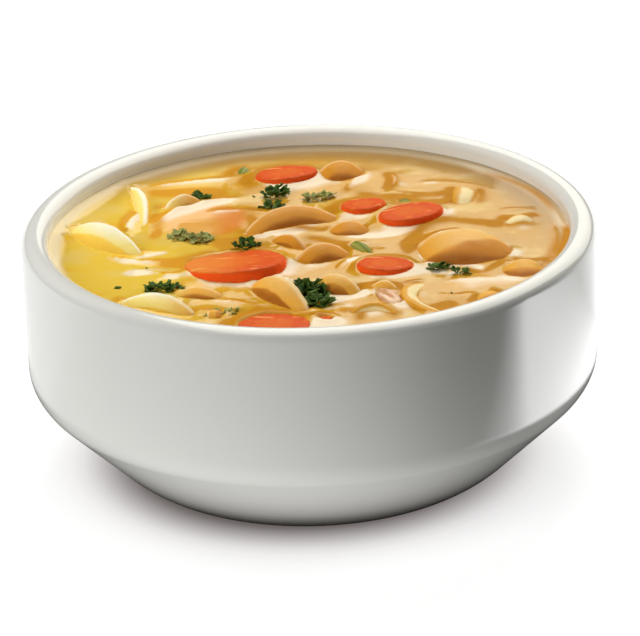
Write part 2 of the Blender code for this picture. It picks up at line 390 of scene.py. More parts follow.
CONE_SLOPE = math.radians(45.0)
CONE_END_Z = 6.0 * MM
FOOT_SLOPE = math.radians(17.0)
FOOT_STEPS = 10
FOOT_RING = 4.5 * MM
FOOT_RECESS = 1.5 * MM
RECESS_DRAFT = 1.0 * MM
INSIDE_BEND_Z = 30.0 * MM
INSIDE_FLOOR_RADIUS = 28.0 * MM
INSIDE_FLOOR_Z = 8.0 * MM


def inside_profile(wall, shrink, steps):
    """The bowl's inside from its upright wall down to the floor, moved in by shrink."""
    floor_z = INSIDE_FLOOR_Z + shrink
    bend = arc(INSIDE_FLOOR_RADIUS, INSIDE_BEND_Z, RIM_RADIUS - wall - shrink - INSIDE_FLOOR_RADIUS,
               INSIDE_BEND_Z - floor_z, 0.0, -math.pi / 2, steps)
    return bend + [(0.0, floor_z)]


def bowl_profile(sizes):
    """The bowl's section, from the middle of its inside round to its underside."""
    lip = sizes.wall / 2
    shoulder = sizes.shoulder_radius
    foot = sizes.foot_radius
    points = inside_profile(sizes.wall, 0.0, 24)[::-1]
    points += arc(RIM_RADIUS - lip, BOWL_HEIGHT - sizes.lip_rise, lip, sizes.lip_rise, math.pi, 0.0, 20)
    points += arc(RIM_RADIUS - shoulder, sizes.shoulder_z, shoulder, shoulder, 0.0, -CONE_SLOPE, 12)
    end_r, end_z = points[-1]
    cone_end = (end_r - (end_z - CONE_END_Z) / math.tan(CONE_SLOPE), CONE_END_Z)
    reach = cone_end[0] - foot - CONE_END_Z / math.tan(CONE_SLOPE)
    run = reach / (math.cos(FOOT_SLOPE) - math.sin(FOOT_SLOPE) / math.tan(CONE_SLOPE))
    control = (foot + run * math.cos(FOOT_SLOPE), run * math.sin(FOOT_SLOPE))
    points.append(cone_end)
    for step in range(1, FOOT_STEPS + 1):
        t = step / FOOT_STEPS
        points.append(tuple((1 - t) ** 2 * a + 2 * t * (1 - t) * b + t * t * c
                            for a, b, c in zip(cone_end, control, (foot, 0.0))))
    ring_inside = foot - FOOT_RING
    return points + [(ring_inside, 0.0), (ring_inside - RECESS_DRAFT, FOOT_RECESS), (0.0, FOOT_RECESS)]


# Painted shade at the foot: how light the glaze is left by the height over the table, in millimetres.
PAINTED_FOOT_SHADE = ((1.0, 0.28), (3.9, 0.30), (5.7, 0.46), (6.8, 0.62), (8.0, 0.76), (9.2, 0.84), (11.6, 0.92),
             (14.0, 0.97), (18.0, 1.0))
FOOT_SHADE_TOP = 20.0
FOOT_SHADE_TINT = (1.0, 1.0, 1.05)


def glaze_material(colours):
    """White glaze, a little uneven, worn off the ring that the bowl stands on, with painted shade towards the
    foot and along the top of the rim.
    """
    shader = Shader("white_glaze")
    height = shader.place(2)
    ring = shader.step(height, 0.35 * MM, 0.15 * MM)
    # Painted shade: the glaze is darkened a little along the top of the rim.
    lip = shader.step(height, BOWL_HEIGHT - 2.0 * MM, BOWL_HEIGHT - 0.5 * MM)
    cloud = shader.noise(26.0, 3.0)
    wave = shader.noise(90.0, 2.0)
    tone = shader.layers(colours.glaze, (cloud * 0.5, (0.80, 0.81, 0.77)), (lip * 0.1, (0.70, 0.68, 0.61)))
    # Painted shade: the glaze is darkened towards the foot, by the height over the table.
    foot_shade = shader.ramp(height / (FOOT_SHADE_TOP * MM), stops(PAINTED_FOOT_SHADE, 0.0, FOOT_SHADE_TOP, FOOT_SHADE_TINT))
    foot = shader.mix(1.0, tone, foot_shade, "MULTIPLY")
    shader.set(Base_Color=shader.mix(ring, foot, (0.62, 0.58, 0.52)), IOR=1.5, Coat_Weight=0.15,
               Roughness=0.10 + 0.05 * cloud + 0.55 * ring, Coat_Roughness=0.05)
    shader.bump(wave + 0.15 * shader.noise(700.0, 1.0), 0.06 * MM, 0.35)
    return shader.material


class SOUP_OT_bowl(bpy.types.Operator):
    """Turn the bowl and glaze it"""

    bl_idname = "soup.bowl"
    bl_label = "Bowl"

    def execute(self, context):
        sizes = context.scene.soup_sizes
        mesh = turned("bowl_glazed", bowl_profile(sizes), sizes.turn_steps)
        add_piece("bowl_glazed", mesh, "bowl", glaze_material(context.scene.soup_colours), "bowl")
        return {"FINISHED"}


# ------------------------------------------------------------------- noodles

Fold = namedtuple("Fold", "name x y heading length width tilt rise sink turn twist lean cup taper",
                  defaults=(3.0, 0.0, 0.0, 0.0, 0.6, 0.15))

NOODLES = (
    Fold("noodle_left_wave", -47.3, 1.6, -46, 26, 9.8, 42, 0.6, turn=8, lean=-0.6, cup=0.9, taper=0.35),
    Fold("noodle_left_ridge", -39.3, 24.0, -85, 29, 7.0, 58, -0.5, turn=-30, twist=-16, cup=0.3),
    Fold("noodle_back_left_arch", -28.6, 24.0, 25, 11.0, 5.6, 50, 0.4, turn=-50),
    Fold("noodle_centre_arch", -3.9, 9.8, 20, 23, 9.0, 42, 0.7, turn=-58, cup=1.4),
    Fold("noodle_centre_leaf", 9.2, 4.2, -5, 12.5, 5.6, 26, 0.6, turn=-20, taper=0.45),
    Fold("noodle_bow_left", -4.8, -2.4, -40, 12, 5.0, 50, 0.4, turn=-40),
    Fold("noodle_bow_right", 3.0, -11.6, 14, 13.5, 7.5, 42, 0.6, turn=-60, cup=1.2),
    Fold("noodle_petal", -7.4, -34.4, -56, 21.5, 9.8, 50, 0.5, lean=-0.8, taper=0.3, cup=1.4),
    Fold("noodle_round_lobe", 5.1, -30.2, -20, 12, 7.5, 44, 0.6, turn=-75, cup=1.3),
    Fold("noodle_right_fold", 34.0, -11.6, -11, 21.2, 15.0, 20, 1.1, turn=-35, cup=2.6, taper=0.2),
    Fold("noodle_right_lens", 47.4, -22.8, -3, 14.6, 7.8, 20, 0.3, turn=30, taper=0.6),
    Fold("noodle_right_tip", 48.2, 7.5, 8, 8.5, 4.4, 16, 0.2, sink=2.0, taper=0.5),
    Fold("noodle_back_right_loop", 36.6, 24.6, 82, 15, 5.8, 18, 0.4, turn=30),
    Fold("noodle_back_arch", 8.0, 39.2, 5, 11.5, 8.5, 34, 0.6, turn=-40, cup=1.4),
    Fold("noodle_back_edge", 19.8, 36.4, -88, 13, 4.0, 60, -1.0, turn=-60, cup=0.2),
    Fold("noodle_front_curl", 13.8, -42.2, -8, 16, 3.6, 62, 0.3, turn=-150, cup=0.2),
    Fold("noodle_front_fold", 16.0, -30.6, -6, 8.5, 4.6, 46, 0.2, turn=-40),
    Fold("noodle_front_ring", 21.8, -36.2, -80, 25, 4.6, -24, 0.2, sink=2.0, turn=180, cup=0.4),
    Fold("noodle_front_right_tip", 39.2, -36.8, 26, 8.5, 4.6, 14, 0.0, sink=2.0, taper=0.5),
    Fold("noodle_front_left_wave", -33.6, -37.0, -27, 20, 7.4, 52, 0.1, turn=-38, cup=0.8),
    Fold("noodle_front_left_strip", -24.8, -30.6, -14, 15.5, 5.0, 34, 0.1, turn=-16),
    Fold("noodle_front_left_tip", -20.9, -42.2, 86, 6.5, 3.8, 8, 0.5, taper=0.4),
)

LOOPED = ("noodle_back_right_loop", "noodle_front_ring", "noodle_right_tip", "noodle_front_curl")

SUNKEN = (
    Fold("sunken_lobe_right", 51.0, -3.5, 78, 19, 10.0, 8, -2.0, sink=3.4, turn=-50, cup=0.3),
    Fold("sunken_back_left", -36.0, 33.0, 22, 20, 6.0, 14, -2.0, sink=3.4, turn=-22, cup=0.3),
    Fold("sunken_back", -22.0, 41.0, 12, 18, 6.5, 12, -2.1, sink=3.4, turn=30, cup=0.3),
    Fold("sunken_left", -48.5, -15.0, -64, 18, 8.0, 16, -2.1, sink=3.4, turn=18, cup=0.4),
    Fold("sunken_front_left", -38.0, -24.0, -30, 20, 7.5, 12, -2.0, sink=3.4, turn=-26, cup=0.4),
    Fold("sunken_centre_left", -28.0, -4.0, -12, 22, 7.0, 10, -2.1, sink=3.4, turn=20, cup=0.3),
    Fold("sunken_middle", 6.0, 24.0, 15, 18, 7.0, 12, -2.2, sink=3.4, turn=-30, cup=0.3),
    Fold("sunken_back_right", 34.0, 38.0, -25, 16, 6.0, 12, -2.0, sink=3.4, turn=-24, cup=0.3),
    Fold("sunken_right", 38.0, 10.0, -20, 18, 7.0, 10, -2.2, sink=3.4, turn=24, cup=0.3),
    Fold("sunken_front", 8.0, -22.5, 10, 14, 5.0, 10, -2.3, sink=3.4, turn=-20, cup=0.3),
    Fold("sunken_front_right", 32.0, -27.0, -16, 16, 7.0, 10, -2.3, sink=3.4, turn=22, cup=0.3),
)

CELERY_SLICES = (
    Fold("celery_centre", 11.0, -6.6, -58, 10.0, 4.6, 62, -0.2, sink=2.2, turn=60, cup=0.2),
    Fold("celery_back_right", 22.4, 21.2, 12, 5.0, 3.4, 50, -0.5, sink=2.0, turn=50, cup=0.2),
    Fold("celery_back_left", -14.4, 44.6, 65, 6.5, 4.0, 48, -0.4, sink=2.2, turn=50, cup=0.2),
)

# How sharply a noodle is creased, where across it in its middle, and how far that moves along it.
Crease = namedtuple("Crease", "sharp place drift")
CREASES = {
    "noodle_right_fold": Crease(1.0, -0.10, 0.55),
    "noodle_centre_arch": Crease(0.5, 0.25, -0.1),
    "noodle_bow_right": Crease(0.6, 0.1, 0.2),
    "noodle_petal": Crease(0.4, 0.2, 0.0),
    "noodle_round_lobe": Crease(0.4, 0.3, 0.0),
    "noodle_back_arch": Crease(0.5, 0.1, 0.3),
    "noodle_left_wave": Crease(0.5, 0.3, 0.2),
}
SMOOTH = Crease(0.0, 0.0, 0.0)

RIBBON_CELL = 0.6 * MM
SECTION_POINTS = 32
SECTION_POWER = 0.34            # below 1 squares the section's corners


def from_crease(fold, along, across):
    """How far across the ribbon from its crease: 0 on it, -1 and 1 at the edges."""
    crease = CREASES.get(fold.name, SMOOTH)
    place = crease.place + crease.drift * along
    return (across - place) / (1 + place if across < place else 1 - place)


def fold_point(fold, along, across, off):
    """A point of a ribbon: along and across run from -1 to 1, off is its height over the middle."""
    whole = fold.length * MM
    swing = math.radians(fold.turn) * along / 2
    if fold.turn:
        radius = whole / math.radians(fold.turn)
        forward = radius * math.sin(swing)
        sideways = radius * (1 - math.cos(swing))
    else:
        forward = whole / 2 * along
        sideways = 0.0
    heading = math.radians(fold.heading)
    ahead = Vector((math.cos(heading), math.sin(heading), 0.0))
    left = Vector((-ahead.y, ahead.x, 0.0))
    local_left = left * math.cos(swing) - ahead * math.sin(swing)
    tilt = math.radians(fold.tilt + fold.twist * along)
    side = local_left * math.cos(tilt) + UP * math.sin(tilt)
    outward = UP * math.cos(tilt) - local_left * math.sin(tilt)
    half_width = (fold.width * MM / 2) * (1 - fold.taper * along ** 2)
    height = fold.rise - (fold.rise + fold.sink) * along ** 2 + fold.lean * along
    sharp = CREASES.get(fold.name, SMOOTH).sharp
    roof = 1 - abs(from_crease(fold, along, across))
    bulge = fold.cup * ((1 - sharp) * (1 - across ** 2) + sharp * roof)
    middle = Vector((fold.x * MM, fold.y * MM, LEVEL + height * MM))
    middle += ahead * forward + left * sideways
    return middle + side * (across * half_width) + outward * (bulge * MM + off)


def squared(value):
    """Pushes a cosine or sine towards -1 or 1, which squares a round section."""
    return math.copysign(abs(value) ** SECTION_POWER, value)


def ribbon(fold, thickness, uneven, cell=RIBBON_CELL):
    """A ribbon with rounded edges, its surface uneven by a small length."""
    stations = max(8, round(fold.length * MM / cell))
    rings = []
    for i in range(stations + 1):
        along = 2 * i / stations - 1
        narrow = min(1.0, 0.55 + 6 * (1 - abs(along)))
        crest = max(fold_point(fold, along, share, 0.0).z for share in (-1.0, -0.5, 0.0, 0.5, 1.0)) - LEVEL
        ring = []
        for k in range(SECTION_POINTS):
            angle = 2 * math.pi * k / SECTION_POINTS
            across = squared(math.cos(angle))
            off = squared(math.sin(angle)) * thickness / 2 * (1 - 0.22 * abs(across) ** 3) * narrow
            point = fold_point(fold, along, across * narrow, off)
            place = (from_crease(fold, along, across) / 2 + 0.5, (point.z - LEVEL) / max(crest, 1.0 * MM))
            ring.append((point + wobble(point, 3.2 * MM, uneven), place))
        rings.append(ring)
    return loft(fold.name, rings)


def noodle_material(colours):
    """Wet egg noodle: golden above its crease, with a painted highlight in cream along its upper edge,
    painted light on its high parts, and painted shade, amber to brown, below.
    """
    shader = Shader("egg_noodle")
    x = shader.place(0)
    y = shader.place(1)
    height = shader.rise()
    across = shader.chart(0)
    front = shader.facing(1) * -1.0
    mottle = shader.noise(420.0, 3.0)
    streak = shader.noise(160.0, 2.0)
    lift = shader.chart(1) + (streak - 0.5) * 0.5
    # Painted light: the noodles are paler where they stand high over the broth.
    lifted = shader.step(height + (mottle - 0.5) * (1.2 * MM), 1.2 * MM, 4.4 * MM)
    soaked = shader.step(height + (streak - 0.5) * (1.4 * MM), 1.4 * MM, -0.4 * MM)
    # Painted shade: amber below the crease, and brown in hollows that face the front, away from the light.
    below = shader.step(across + (mottle - 0.5) * 0.08, 0.55, 0.46)
    shaded_hollow = shader.step(lift, 0.85, 0.30) * shader.step(front, -0.05, 0.35) * below
    # Painted highlight: a pale line along the noodle's upper edge.
    rim = shader.step(across, 0.86, 0.96) * shader.step(height, 0.1 * MM, 0.9 * MM)
    middle = shader.step(x, 32.0 * MM, 20.0 * MM) * shader.step(y, -26.0 * MM, -16.0 * MM)
    large = shader.step(x, 25.0 * MM, 27.0 * MM) * shader.step(x, 47.0 * MM, 45.5 * MM)
    large = large * shader.step(y, -20.5 * MM, -19.0 * MM) * shader.step(y, -2.0 * MM, -4.0 * MM)
    # Painted shade: the lower right facet of the large fold on the right is turned amber.
    shaded_far_end = shader.step((x - 34.0 * MM) * 0.45 - (y + 11.6 * MM), 0.6 * MM, 2.2 * MM)
    gold = shader.layers(
        colours.noodle_gold,
        (lifted * 0.2, colours.noodle_pale),
        (shader.step(mottle, 0.50, 0.70) * 0.4, (0.76, 0.42, 0.09)),
        (middle * 0.85, (0.68, 0.27, 0.018)),
        (below * 0.85, (0.74, 0.30, 0.035)),
        (large * shaded_far_end * 0.85, (0.62, 0.23, 0.015)),
        (shaded_hollow * 0.92, colours.noodle_hollow),
        (rim * (0.65 - 0.2 * middle - 0.4 * large), colours.noodle_pale),
        (soaked * 0.5, colours.noodle_soaked))
    cream = shader.layers(
        (0.99, 0.80, 0.24),
        (lifted, (0.99, 0.94, 0.70)),
        (below * 0.75, (0.99, 0.70, 0.11)),
        (shaded_hollow * 0.7, (0.94, 0.56, 0.05)),
        (rim * 0.8, (0.99, 0.95, 0.76)),
        (soaked * 0.5, (0.90, 0.55, 0.08)))
    left = shader.step(x, -24.0 * MM, -35.0 * MM)
    shader.set(Base_Color=shader.mix(left, gold, cream), Roughness=0.38 + 0.2 * mottle, IOR=1.36,
               Coat_Weight=0.05, Coat_Roughness=0.12, Specular_IOR_Level=0.10,
               Subsurface_Weight=0.1, Subsurface_Scale=1.0 * MM, Subsurface_Radius=(1.0, 0.6, 0.25))
    shader.bump(mottle + streak + 0.4 * shader.noise(1600.0, 2.0), 0.25 * MM, 0.6)
    return shader.material


def loop_material():
    """A noodle seen through wet edges: cream in its middle as a painted highlight, amber all round where the
    broth wets it.
    """
    shader = Shader("egg_noodle_loop")
    mottle = shader.noise(420.0, 3.0)
    # Painted highlight: cream in the middle of the loop, amber towards its wet edges.
    edge = shader.step(abs(shader.chart(0) - 0.5) + (mottle - 0.5) * 0.12, 0.14, 0.34)
    tone = shader.layers((0.97, 0.80, 0.42), (edge, (0.74, 0.36, 0.03)),
                         (shader.step(mottle, 0.5, 0.7) * 0.3, (0.84, 0.46, 0.09)))
    shader.set(Base_Color=tone, Roughness=0.34 + 0.2 * mottle, IOR=1.36, Coat_Weight=0.1,
               Coat_Roughness=0.12, Specular_IOR_Level=0.1)
    shader.bump(mottle, 0.2 * MM, 0.5)
    return shader.material


def celery_material(colours):
    """Cooked celery: olive flesh with paler strings along it."""
    shader = Shader("celery_flesh")
    across = shader.chart(0)
    fibre = (across * 34.0 + shader.noise(300.0) * 3.0).sine() * 0.5 + 0.5
    pale = shader.step(across, 0.52, 0.70) * shader.step(across, 0.92, 0.78)
    soaked = shader.step(shader.rise(), 1.2 * MM, -0.8 * MM)
    tone = shader.layers(
        colours.celery_flesh, (fibre * 0.35, (0.16, 0.19, 0.03)),
        (pale * 0.6, (0.46, 0.46, 0.12)), (soaked * 0.6, (0.22, 0.16, 0.02)))
    shader.set(Base_Color=tone, Roughness=0.25 + 0.2 * fibre, IOR=1.4, Coat_Weight=0.08,
               Coat_Roughness=0.1, Specular_IOR_Level=0.12)
    shader.bump(fibre, 0.12 * MM, 0.6)
    return shader.material


class SOUP_OT_noodles(bpy.types.Operator):
    """Lay the noodles that rise through the broth"""

    bl_idname = "soup.noodles"
    bl_label = "Noodles"

    def execute(self, context):
        sizes = context.scene.soup_sizes
        plain = noodle_material(context.scene.soup_colours)
        looped = loop_material()
        for fold in NOODLES:
            mesh = ribbon(fold, sizes.noodle, 0.14 * MM)
            material = looped if fold.name in LOOPED else plain
            add_piece(fold.name.replace("noodle", "egg_noodle"), mesh, "noodle", material, fold.name)
        return {"FINISHED"}


class SOUP_OT_celery(bpy.types.Operator):
    """Lay the celery slices"""

    bl_idname = "soup.celery"
    bl_label = "Celery"

    def execute(self, context):
        sizes = context.scene.soup_sizes
        material = celery_material(context.scene.soup_colours)
        for fold in CELERY_SLICES:
            mesh = ribbon(fold, sizes.celery, 0.08 * MM, 0.35 * MM)
            add_piece(fold.name.replace("celery", "celery_slice"), mesh, "celery", material, fold.name)
        return {"FINISHED"}


# ------------------------------------------------------------------- carrots

Slice = namedtuple("Slice", "name x y top long short swing pitch roll thick",
                   defaults=(0.0, 0.0, 0.0, 5.0))

CARROTS = (
    Slice("carrot_centre", -16.4, -14.8, 1.8, 22.5, 21.0, swing=4, pitch=-9, roll=3),
    Slice("carrot_back", -4.8, 40.0, 1.7, 14.6, 11.0, swing=10, pitch=-4, roll=3),
    Slice("carrot_back_right", 12.8, 17.8, 1.9, 10.4, 9.6, swing=8, pitch=-6, roll=3),
    Slice("carrot_right", 23.4, 11.8, 2.0, 16.4, 11.6, swing=34, pitch=-4, roll=2),
    Slice("carrot_centre_right", 16.6, -18.4, 1.7, 12.8, 11.0, swing=-2, pitch=-6, roll=-2),
    Slice("carrot_front", -8.2, -49.2, 1.0, 16.5, 12.6, swing=-4, pitch=-2, roll=1),
    Slice("carrot_front_bit", 3.0, -46.6, 0.8, 4.2, 3.2, swing=-24, pitch=-4, thick=3.0),
)
SUNKEN_CARROT = Slice("sunken_carrot", -24.0, 15.0, -0.8, 20.0, 20.0, swing=0, pitch=1, roll=2)

CARROT_EDGE = 0.7 * MM
CARROT_STEPS = 72


def carrot_section(half, edge, inset):
    """A slice's section as shares of its width with heights, from its top round to its bottom."""
    def rounding(side, angles):
        return [(1.0 - inset * (1.0 - math.cos(angle)), side * (half - edge + edge * math.sin(angle)))
                for angle in angles]

    top = [(share, half) for share in (0.06, 0.3, 0.55, 0.78)]
    outside = [(1.0, half * share) for share in (0.5, 0.0, -0.5)]
    return (top + rounding(1, (1.3, 1.0, 0.7, 0.4, 0.1)) + outside
            + rounding(-1, (0.1, 0.5, 0.9, 1.3)) + [(0.6, -half), (0.06, -half)])


def carrot(piece):
    """A carrot slice with softened edges and a gently uneven outline, in its own coordinates."""
    half = piece.thick * MM / 2
    edge = min(CARROT_EDGE, half)
    mean = (piece.long + piece.short) * MM / 4
    rings = []
    for share, z in carrot_section(half, edge, edge / mean):
        ring = []
        for k in range(CARROT_STEPS):
            angle = 2 * math.pi * k / CARROT_STEPS
            outline = 1 + 0.02 * math.sin(2 * angle + piece.x) + 0.015 * math.sin(3 * angle + 2 * piece.x)
            x = math.cos(angle) * share * outline * piece.long * MM / 2
            y = math.sin(angle) * share * outline * piece.short * MM / 2
            dimple = noise.noise(Vector((x, y, z + piece.y * MM)) / (2.6 * MM)) * 0.16 * MM
            grow = 1 + dimple * 0.6 / max(mean * share, 1 * MM)
            point = Vector((x * grow, y * grow, z + dimple * (1.0 if z > 0 else 0.3)))
            ring.append((point, (0.5 + 0.5 * share * math.cos(angle), 0.5 + 0.5 * share * math.sin(angle))))
        rings.append(ring)
    return loft(piece.name, rings)


def place_slice(item, piece):
    item.location = (piece.x * MM, piece.y * MM, LEVEL + piece.top * MM - piece.thick * MM / 2)
    item.rotation_euler = (
        Matrix.Rotation(math.radians(piece.pitch), 3, "X")
        @ Matrix.Rotation(math.radians(-piece.roll), 3, "Y")
        @ Matrix.Rotation(math.radians(piece.swing), 3, "Z")).to_euler()


def carrot_material(name, face, side, core):
    """Cooked carrot: an orange face with a paler core, fine rays and painted glints of light, and a redder
    outside.
    """
    shader = Shader(name)
    x = shader.chart(0) - 0.5
    y = shader.chart(1) - 0.5
    radius = span(x, y) * 2.0
    mottle = shader.noise(500.0, 3.0)
    rays = (y.angle(x) * 26.0 + shader.noise(240.0) * 5.0).sine() * 0.5 + 0.5
    ring = shader.step(radius, 0.36, 0.46) * shader.step(radius, 0.58, 0.48)
    top = shader.step(shader.facing(2), 0.35, 0.8)
    # Painted highlights: sparse golden glints on the cut face.
    painted_glint = shader.step(shader.noise(420.0, 2.0, stretch=(0.35, 1.0, 1.0)), 0.64, 0.72)
    flesh = shader.layers(
        face,
        (shader.step(radius, 0.6, 0.3) * 0.55, core),
        (ring * 0.15, (0.80, 0.20, 0.02)),
        (rays * shader.step(radius, 0.2, 0.5) * 0.22, side),
        (shader.step(mottle, 0.52, 0.7) * 0.3, (0.88, 0.30, 0.04)),
        (shader.step(shader.place(0), -12.0 * MM, -26.0 * MM) * 0.7, (0.86, 0.30, 0.05)),
        (painted_glint * 0.55, (1.0, 0.55, 0.16)))
    soaked = shader.step(shader.rise(), 0.9 * MM, -1.0 * MM)
    tone = shader.layers(side, (top, flesh), (soaked * 0.55, (0.42, 0.05, 0.005)))
    shader.set(Base_Color=tone, Roughness=0.36 + 0.25 * mottle, IOR=1.34, Coat_Weight=0.04,
               Coat_Roughness=0.2, Specular_IOR_Level=0.06,
               Subsurface_Weight=0.1, Subsurface_Scale=1.2 * MM, Subsurface_Radius=(1.0, 0.3, 0.1))
    shader.bump(mottle + rays * 0.25, 0.2 * MM, 0.5)
    return shader.material


class SOUP_OT_carrots(bpy.types.Operator):
    """Float the carrot slices"""

    bl_idname = "soup.carrots"
    bl_label = "Carrots"

    def execute(self, context):
        colours = context.scene.soup_colours
        material = carrot_material("carrot_flesh", colours.carrot_face, colours.carrot_side,
                                   (0.78, 0.17, 0.018))
        for piece in CARROTS:
            item = add_piece(piece.name.replace("carrot", "carrot_slice"), carrot(piece), "carrot",
                             material, piece.name)
            place_slice(item, piece)
        return {"FINISHED"}


# ------------------------------------------------------------------- chicken

CHICKEN = Vector((17.0, -35.8, 0.1)) * MM
CHICKEN_SIZE = Vector((4.7, 2.4, 1.8)) * MM
CHICKEN_SWING = math.radians(-62.0)
SHRED_RINGS = 24
SHRED_STEPS = 40


def shred():
    """A shred of meat, its strands running from end to end and parting at the ends."""
    rings = []
    for i in range(SHRED_RINGS + 1):
        along = math.sin(math.pi * (i / SHRED_RINGS - 0.5) * 0.98)
        girth = math.sqrt(max(0.0, 1 - along ** 2)) ** 0.8
        ring = []
        for k in range(SHRED_STEPS):
            angle = 2 * math.pi * k / SHRED_STEPS
            ridge = 1 + 0.10 * math.cos(5 * angle) + 0.04 * math.cos(11 * angle + 3 * along)
            point = Vector((along * CHICKEN_SIZE.x, math.cos(angle) * girth * ridge * CHICKEN_SIZE.y,
                            math.sin(angle) * girth * ridge * CHICKEN_SIZE.z))
            ring.append((point + wobble(point, 1.1 * MM, 0.12 * MM), (i / SHRED_RINGS, k / SHRED_STEPS)))
        rings.append(ring)
    return loft("chicken_meat", rings)


def chicken_material(colours):
    """Poached meat: pale strands with warmer grooves."""
    shader = Shader("poached_chicken")
    strand = shader.noise(900.0, 3.0, stretch=(0.18, 1.0, 1.0))
    soaked = shader.step(shader.rise(), 0.8 * MM, -0.8 * MM)
    tone = shader.layers((0.60, 0.28, 0.10), (shader.step(strand, 0.35, 0.65), colours.chicken_meat),
                         (soaked * 0.6, (0.55, 0.24, 0.05)))
    shader.set(Base_Color=tone, Roughness=0.35 + 0.2 * strand, IOR=1.4, Coat_Weight=0.35,
               Coat_Roughness=0.15)
    shader.bump(strand, 0.3 * MM, 0.7)
    return shader.material


class SOUP_OT_chicken(bpy.types.Operator):
    """Drop in the shred of chicken"""

    bl_idname = "soup.chicken"
    bl_label = "Chicken"

    def execute(self, context):
        material = chicken_material(context.scene.soup_colours)
        item = add_piece("chicken_meat", shred(), "chicken", material, "chicken_shred")
        item.location = CHICKEN + UP * LEVEL
        item.rotation_euler = (0.0, 0.0, CHICKEN_SWING)
        return {"FINISHED"}


# -------------------------------------------------------------------- sunken

def sunken_material(colours):
    """A noodle under the film: yellow or tan, and amber where it lies deeper."""
    shader = Shader("sunken_noodle")
    cloud = shader.noise(200.0, 3.0)
    left = shader.step(shader.place(0), -10.0 * MM, -32.0 * MM)
    deep = shader.step(shader.rise(), 0.5 * MM, -3.2 * MM)
    tone = shader.layers((0.92, 0.62, 0.22), (left, (0.98, 0.80, 0.30)), (deep, colours.broth_amber))
    shader.set(Base_Color=tone, Roughness=0.4 + 0.2 * cloud)
    shader.bump(cloud, 0.2 * MM, 0.4)
    return shader.material


class SOUP_OT_sunken(bpy.types.Operator):
    """Sink the noodles and the carrot slice that lie just under the surface"""

    bl_idname = "soup.sunken"
    bl_label = "Sunken pieces"

    def execute(self, context):
        material = sunken_material(context.scene.soup_colours)
        for fold in SUNKEN:
            mesh = ribbon(fold, context.scene.soup_sizes.noodle, 0.2 * MM, 0.9 * MM)
            add_piece(fold.name, mesh, "noodle", material)
        material = carrot_material("sunken_carrot_flesh", (0.98, 0.36, 0.08), (0.85, 0.20, 0.03),
                                   (0.98, 0.46, 0.14))
        item = add_piece(SUNKEN_CARROT.name, carrot(SUNKEN_CARROT), "carrot", material)
        place_slice(item, SUNKEN_CARROT)
        return {"FINISHED"}


# ------------------------------------------------------------------- parsley

Sprig = namedtuple("Sprig", "name x y wide deep leaves scale lift heading faded seed")

SPRIGS = (
    Sprig("parsley_back_left", -25.0, 28.0, 1.7, 1.3, 9, 0.75, 1.4, 0, 0, 1),
    Sprig("parsley_back", -7.6, 29.5, 2.8, 1.6, 14, 0.85, 1.6, 28, 0, 2),
    Sprig("parsley_back_low", -8.2, 22.6, 2.6, 0.8, 8, 0.70, 0.5, 4, 0, 3),
    Sprig("parsley_back_pale", 2.8, 26.6, 3.2, 1.4, 13, 0.80, 0.8, 12, 1, 4),
    Sprig("parsley_centre", -14.0, -3.0, 3.0, 0.9, 12, 0.75, 1.9, 6, 0, 5),
    Sprig("parsley_left", -32.6, -25.7, 3.6, 1.3, 15, 0.85, 1.0, 6, 0, 6),
    Sprig("parsley_front", -0.4, -31.6, 3.4, 2.2, 18, 1.25, 1.8, -20, 0, 7),
    Sprig("parsley_front_low", 1.8, -37.0, 2.2, 1.8, 12, 1.10, 1.2, -20, 0, 8),
    Sprig("parsley_front_pale", -19.5, -41.0, 3.8, 1.4, 13, 0.80, 0.7, 5, 1, 9),
    Sprig("parsley_right", 28.3, -18.9, 1.9, 0.9, 9, 0.75, 0.9, 0, 0, 10),
    Sprig("parsley_right_bit", 33.6, -21.7, 1.5, 0.6, 6, 0.65, 0.8, -15, 0, 11),
    Sprig("parsley_clump", -29.4, 5.0, 2.2, 1.4, 12, 0.80, 0.7, 0, 1, 12),
    Sprig("parsley_clump_right", -24.6, 3.2, 2.2, 1.4, 12, 0.80, 0.7, 0, 1, 13),
)

CRUMBS = (
    (-42.7, -23.6, 0.9), (-45.0, 8.5, 0.5), (-8.0, -47.5, 0.6), (-3.0, -49.0, 0.5), (4.6, 3.6, 0.6),
    (-36.5, -13.0, 0.5), (31.0, -33.5, 0.5), (12.0, -29.0, 0.4), (25.6, -38.8, 0.5), (-12.5, 29.0, 0.5),
)

LEAF_STEPS = 18
LEAF_FAN = math.radians(112.0)
LEAF_THICKNESS = 0.12 * MM


def leaflet(work, chart, base, axes, size, rng):
    """A fan-shaped leaflet with a toothed rim that curls up from its root."""
    ahead, side, up = axes
    curl = rng.uniform(-0.1, 0.5)
    phase = rng.uniform(0.0, 2 * math.pi)
    shade = rng.random()
    root = work.verts.new(base)
    rows = []
    for share in (0.4, 0.75, 1.0):
        row = []
        for step in range(LEAF_STEPS + 1):
            angle = LEAF_FAN * (2 * step / LEAF_STEPS - 1)
            lobe = 0.70 + 0.30 * math.cos(angle) + 0.12 * math.cos(5 * angle)
            tooth = 0.84 if share == 1.0 and step % 2 else 1.0
            out = size * share * lobe * tooth
            height = size * share ** 2 * (curl + 0.15 * math.sin(4 * angle + phase))
            row.append(work.verts.new(base + ahead * (math.cos(angle) * out)
                                      + side * (math.sin(angle) * out) + up * height))
        rows.append(row)
    for pair in zip(rows[0], rows[0][1:]):
        work.faces.new((root, *pair))
    for low, high in zip(rows, rows[1:]):
        for k in range(LEAF_STEPS):
            work.faces.new((low[k], high[k], high[k + 1], low[k + 1]))
    for vertex in (root, *rows[0], *rows[1], *rows[2]):
        chart[vertex] = (min(1.0, (vertex.co - base).length / size), shade)


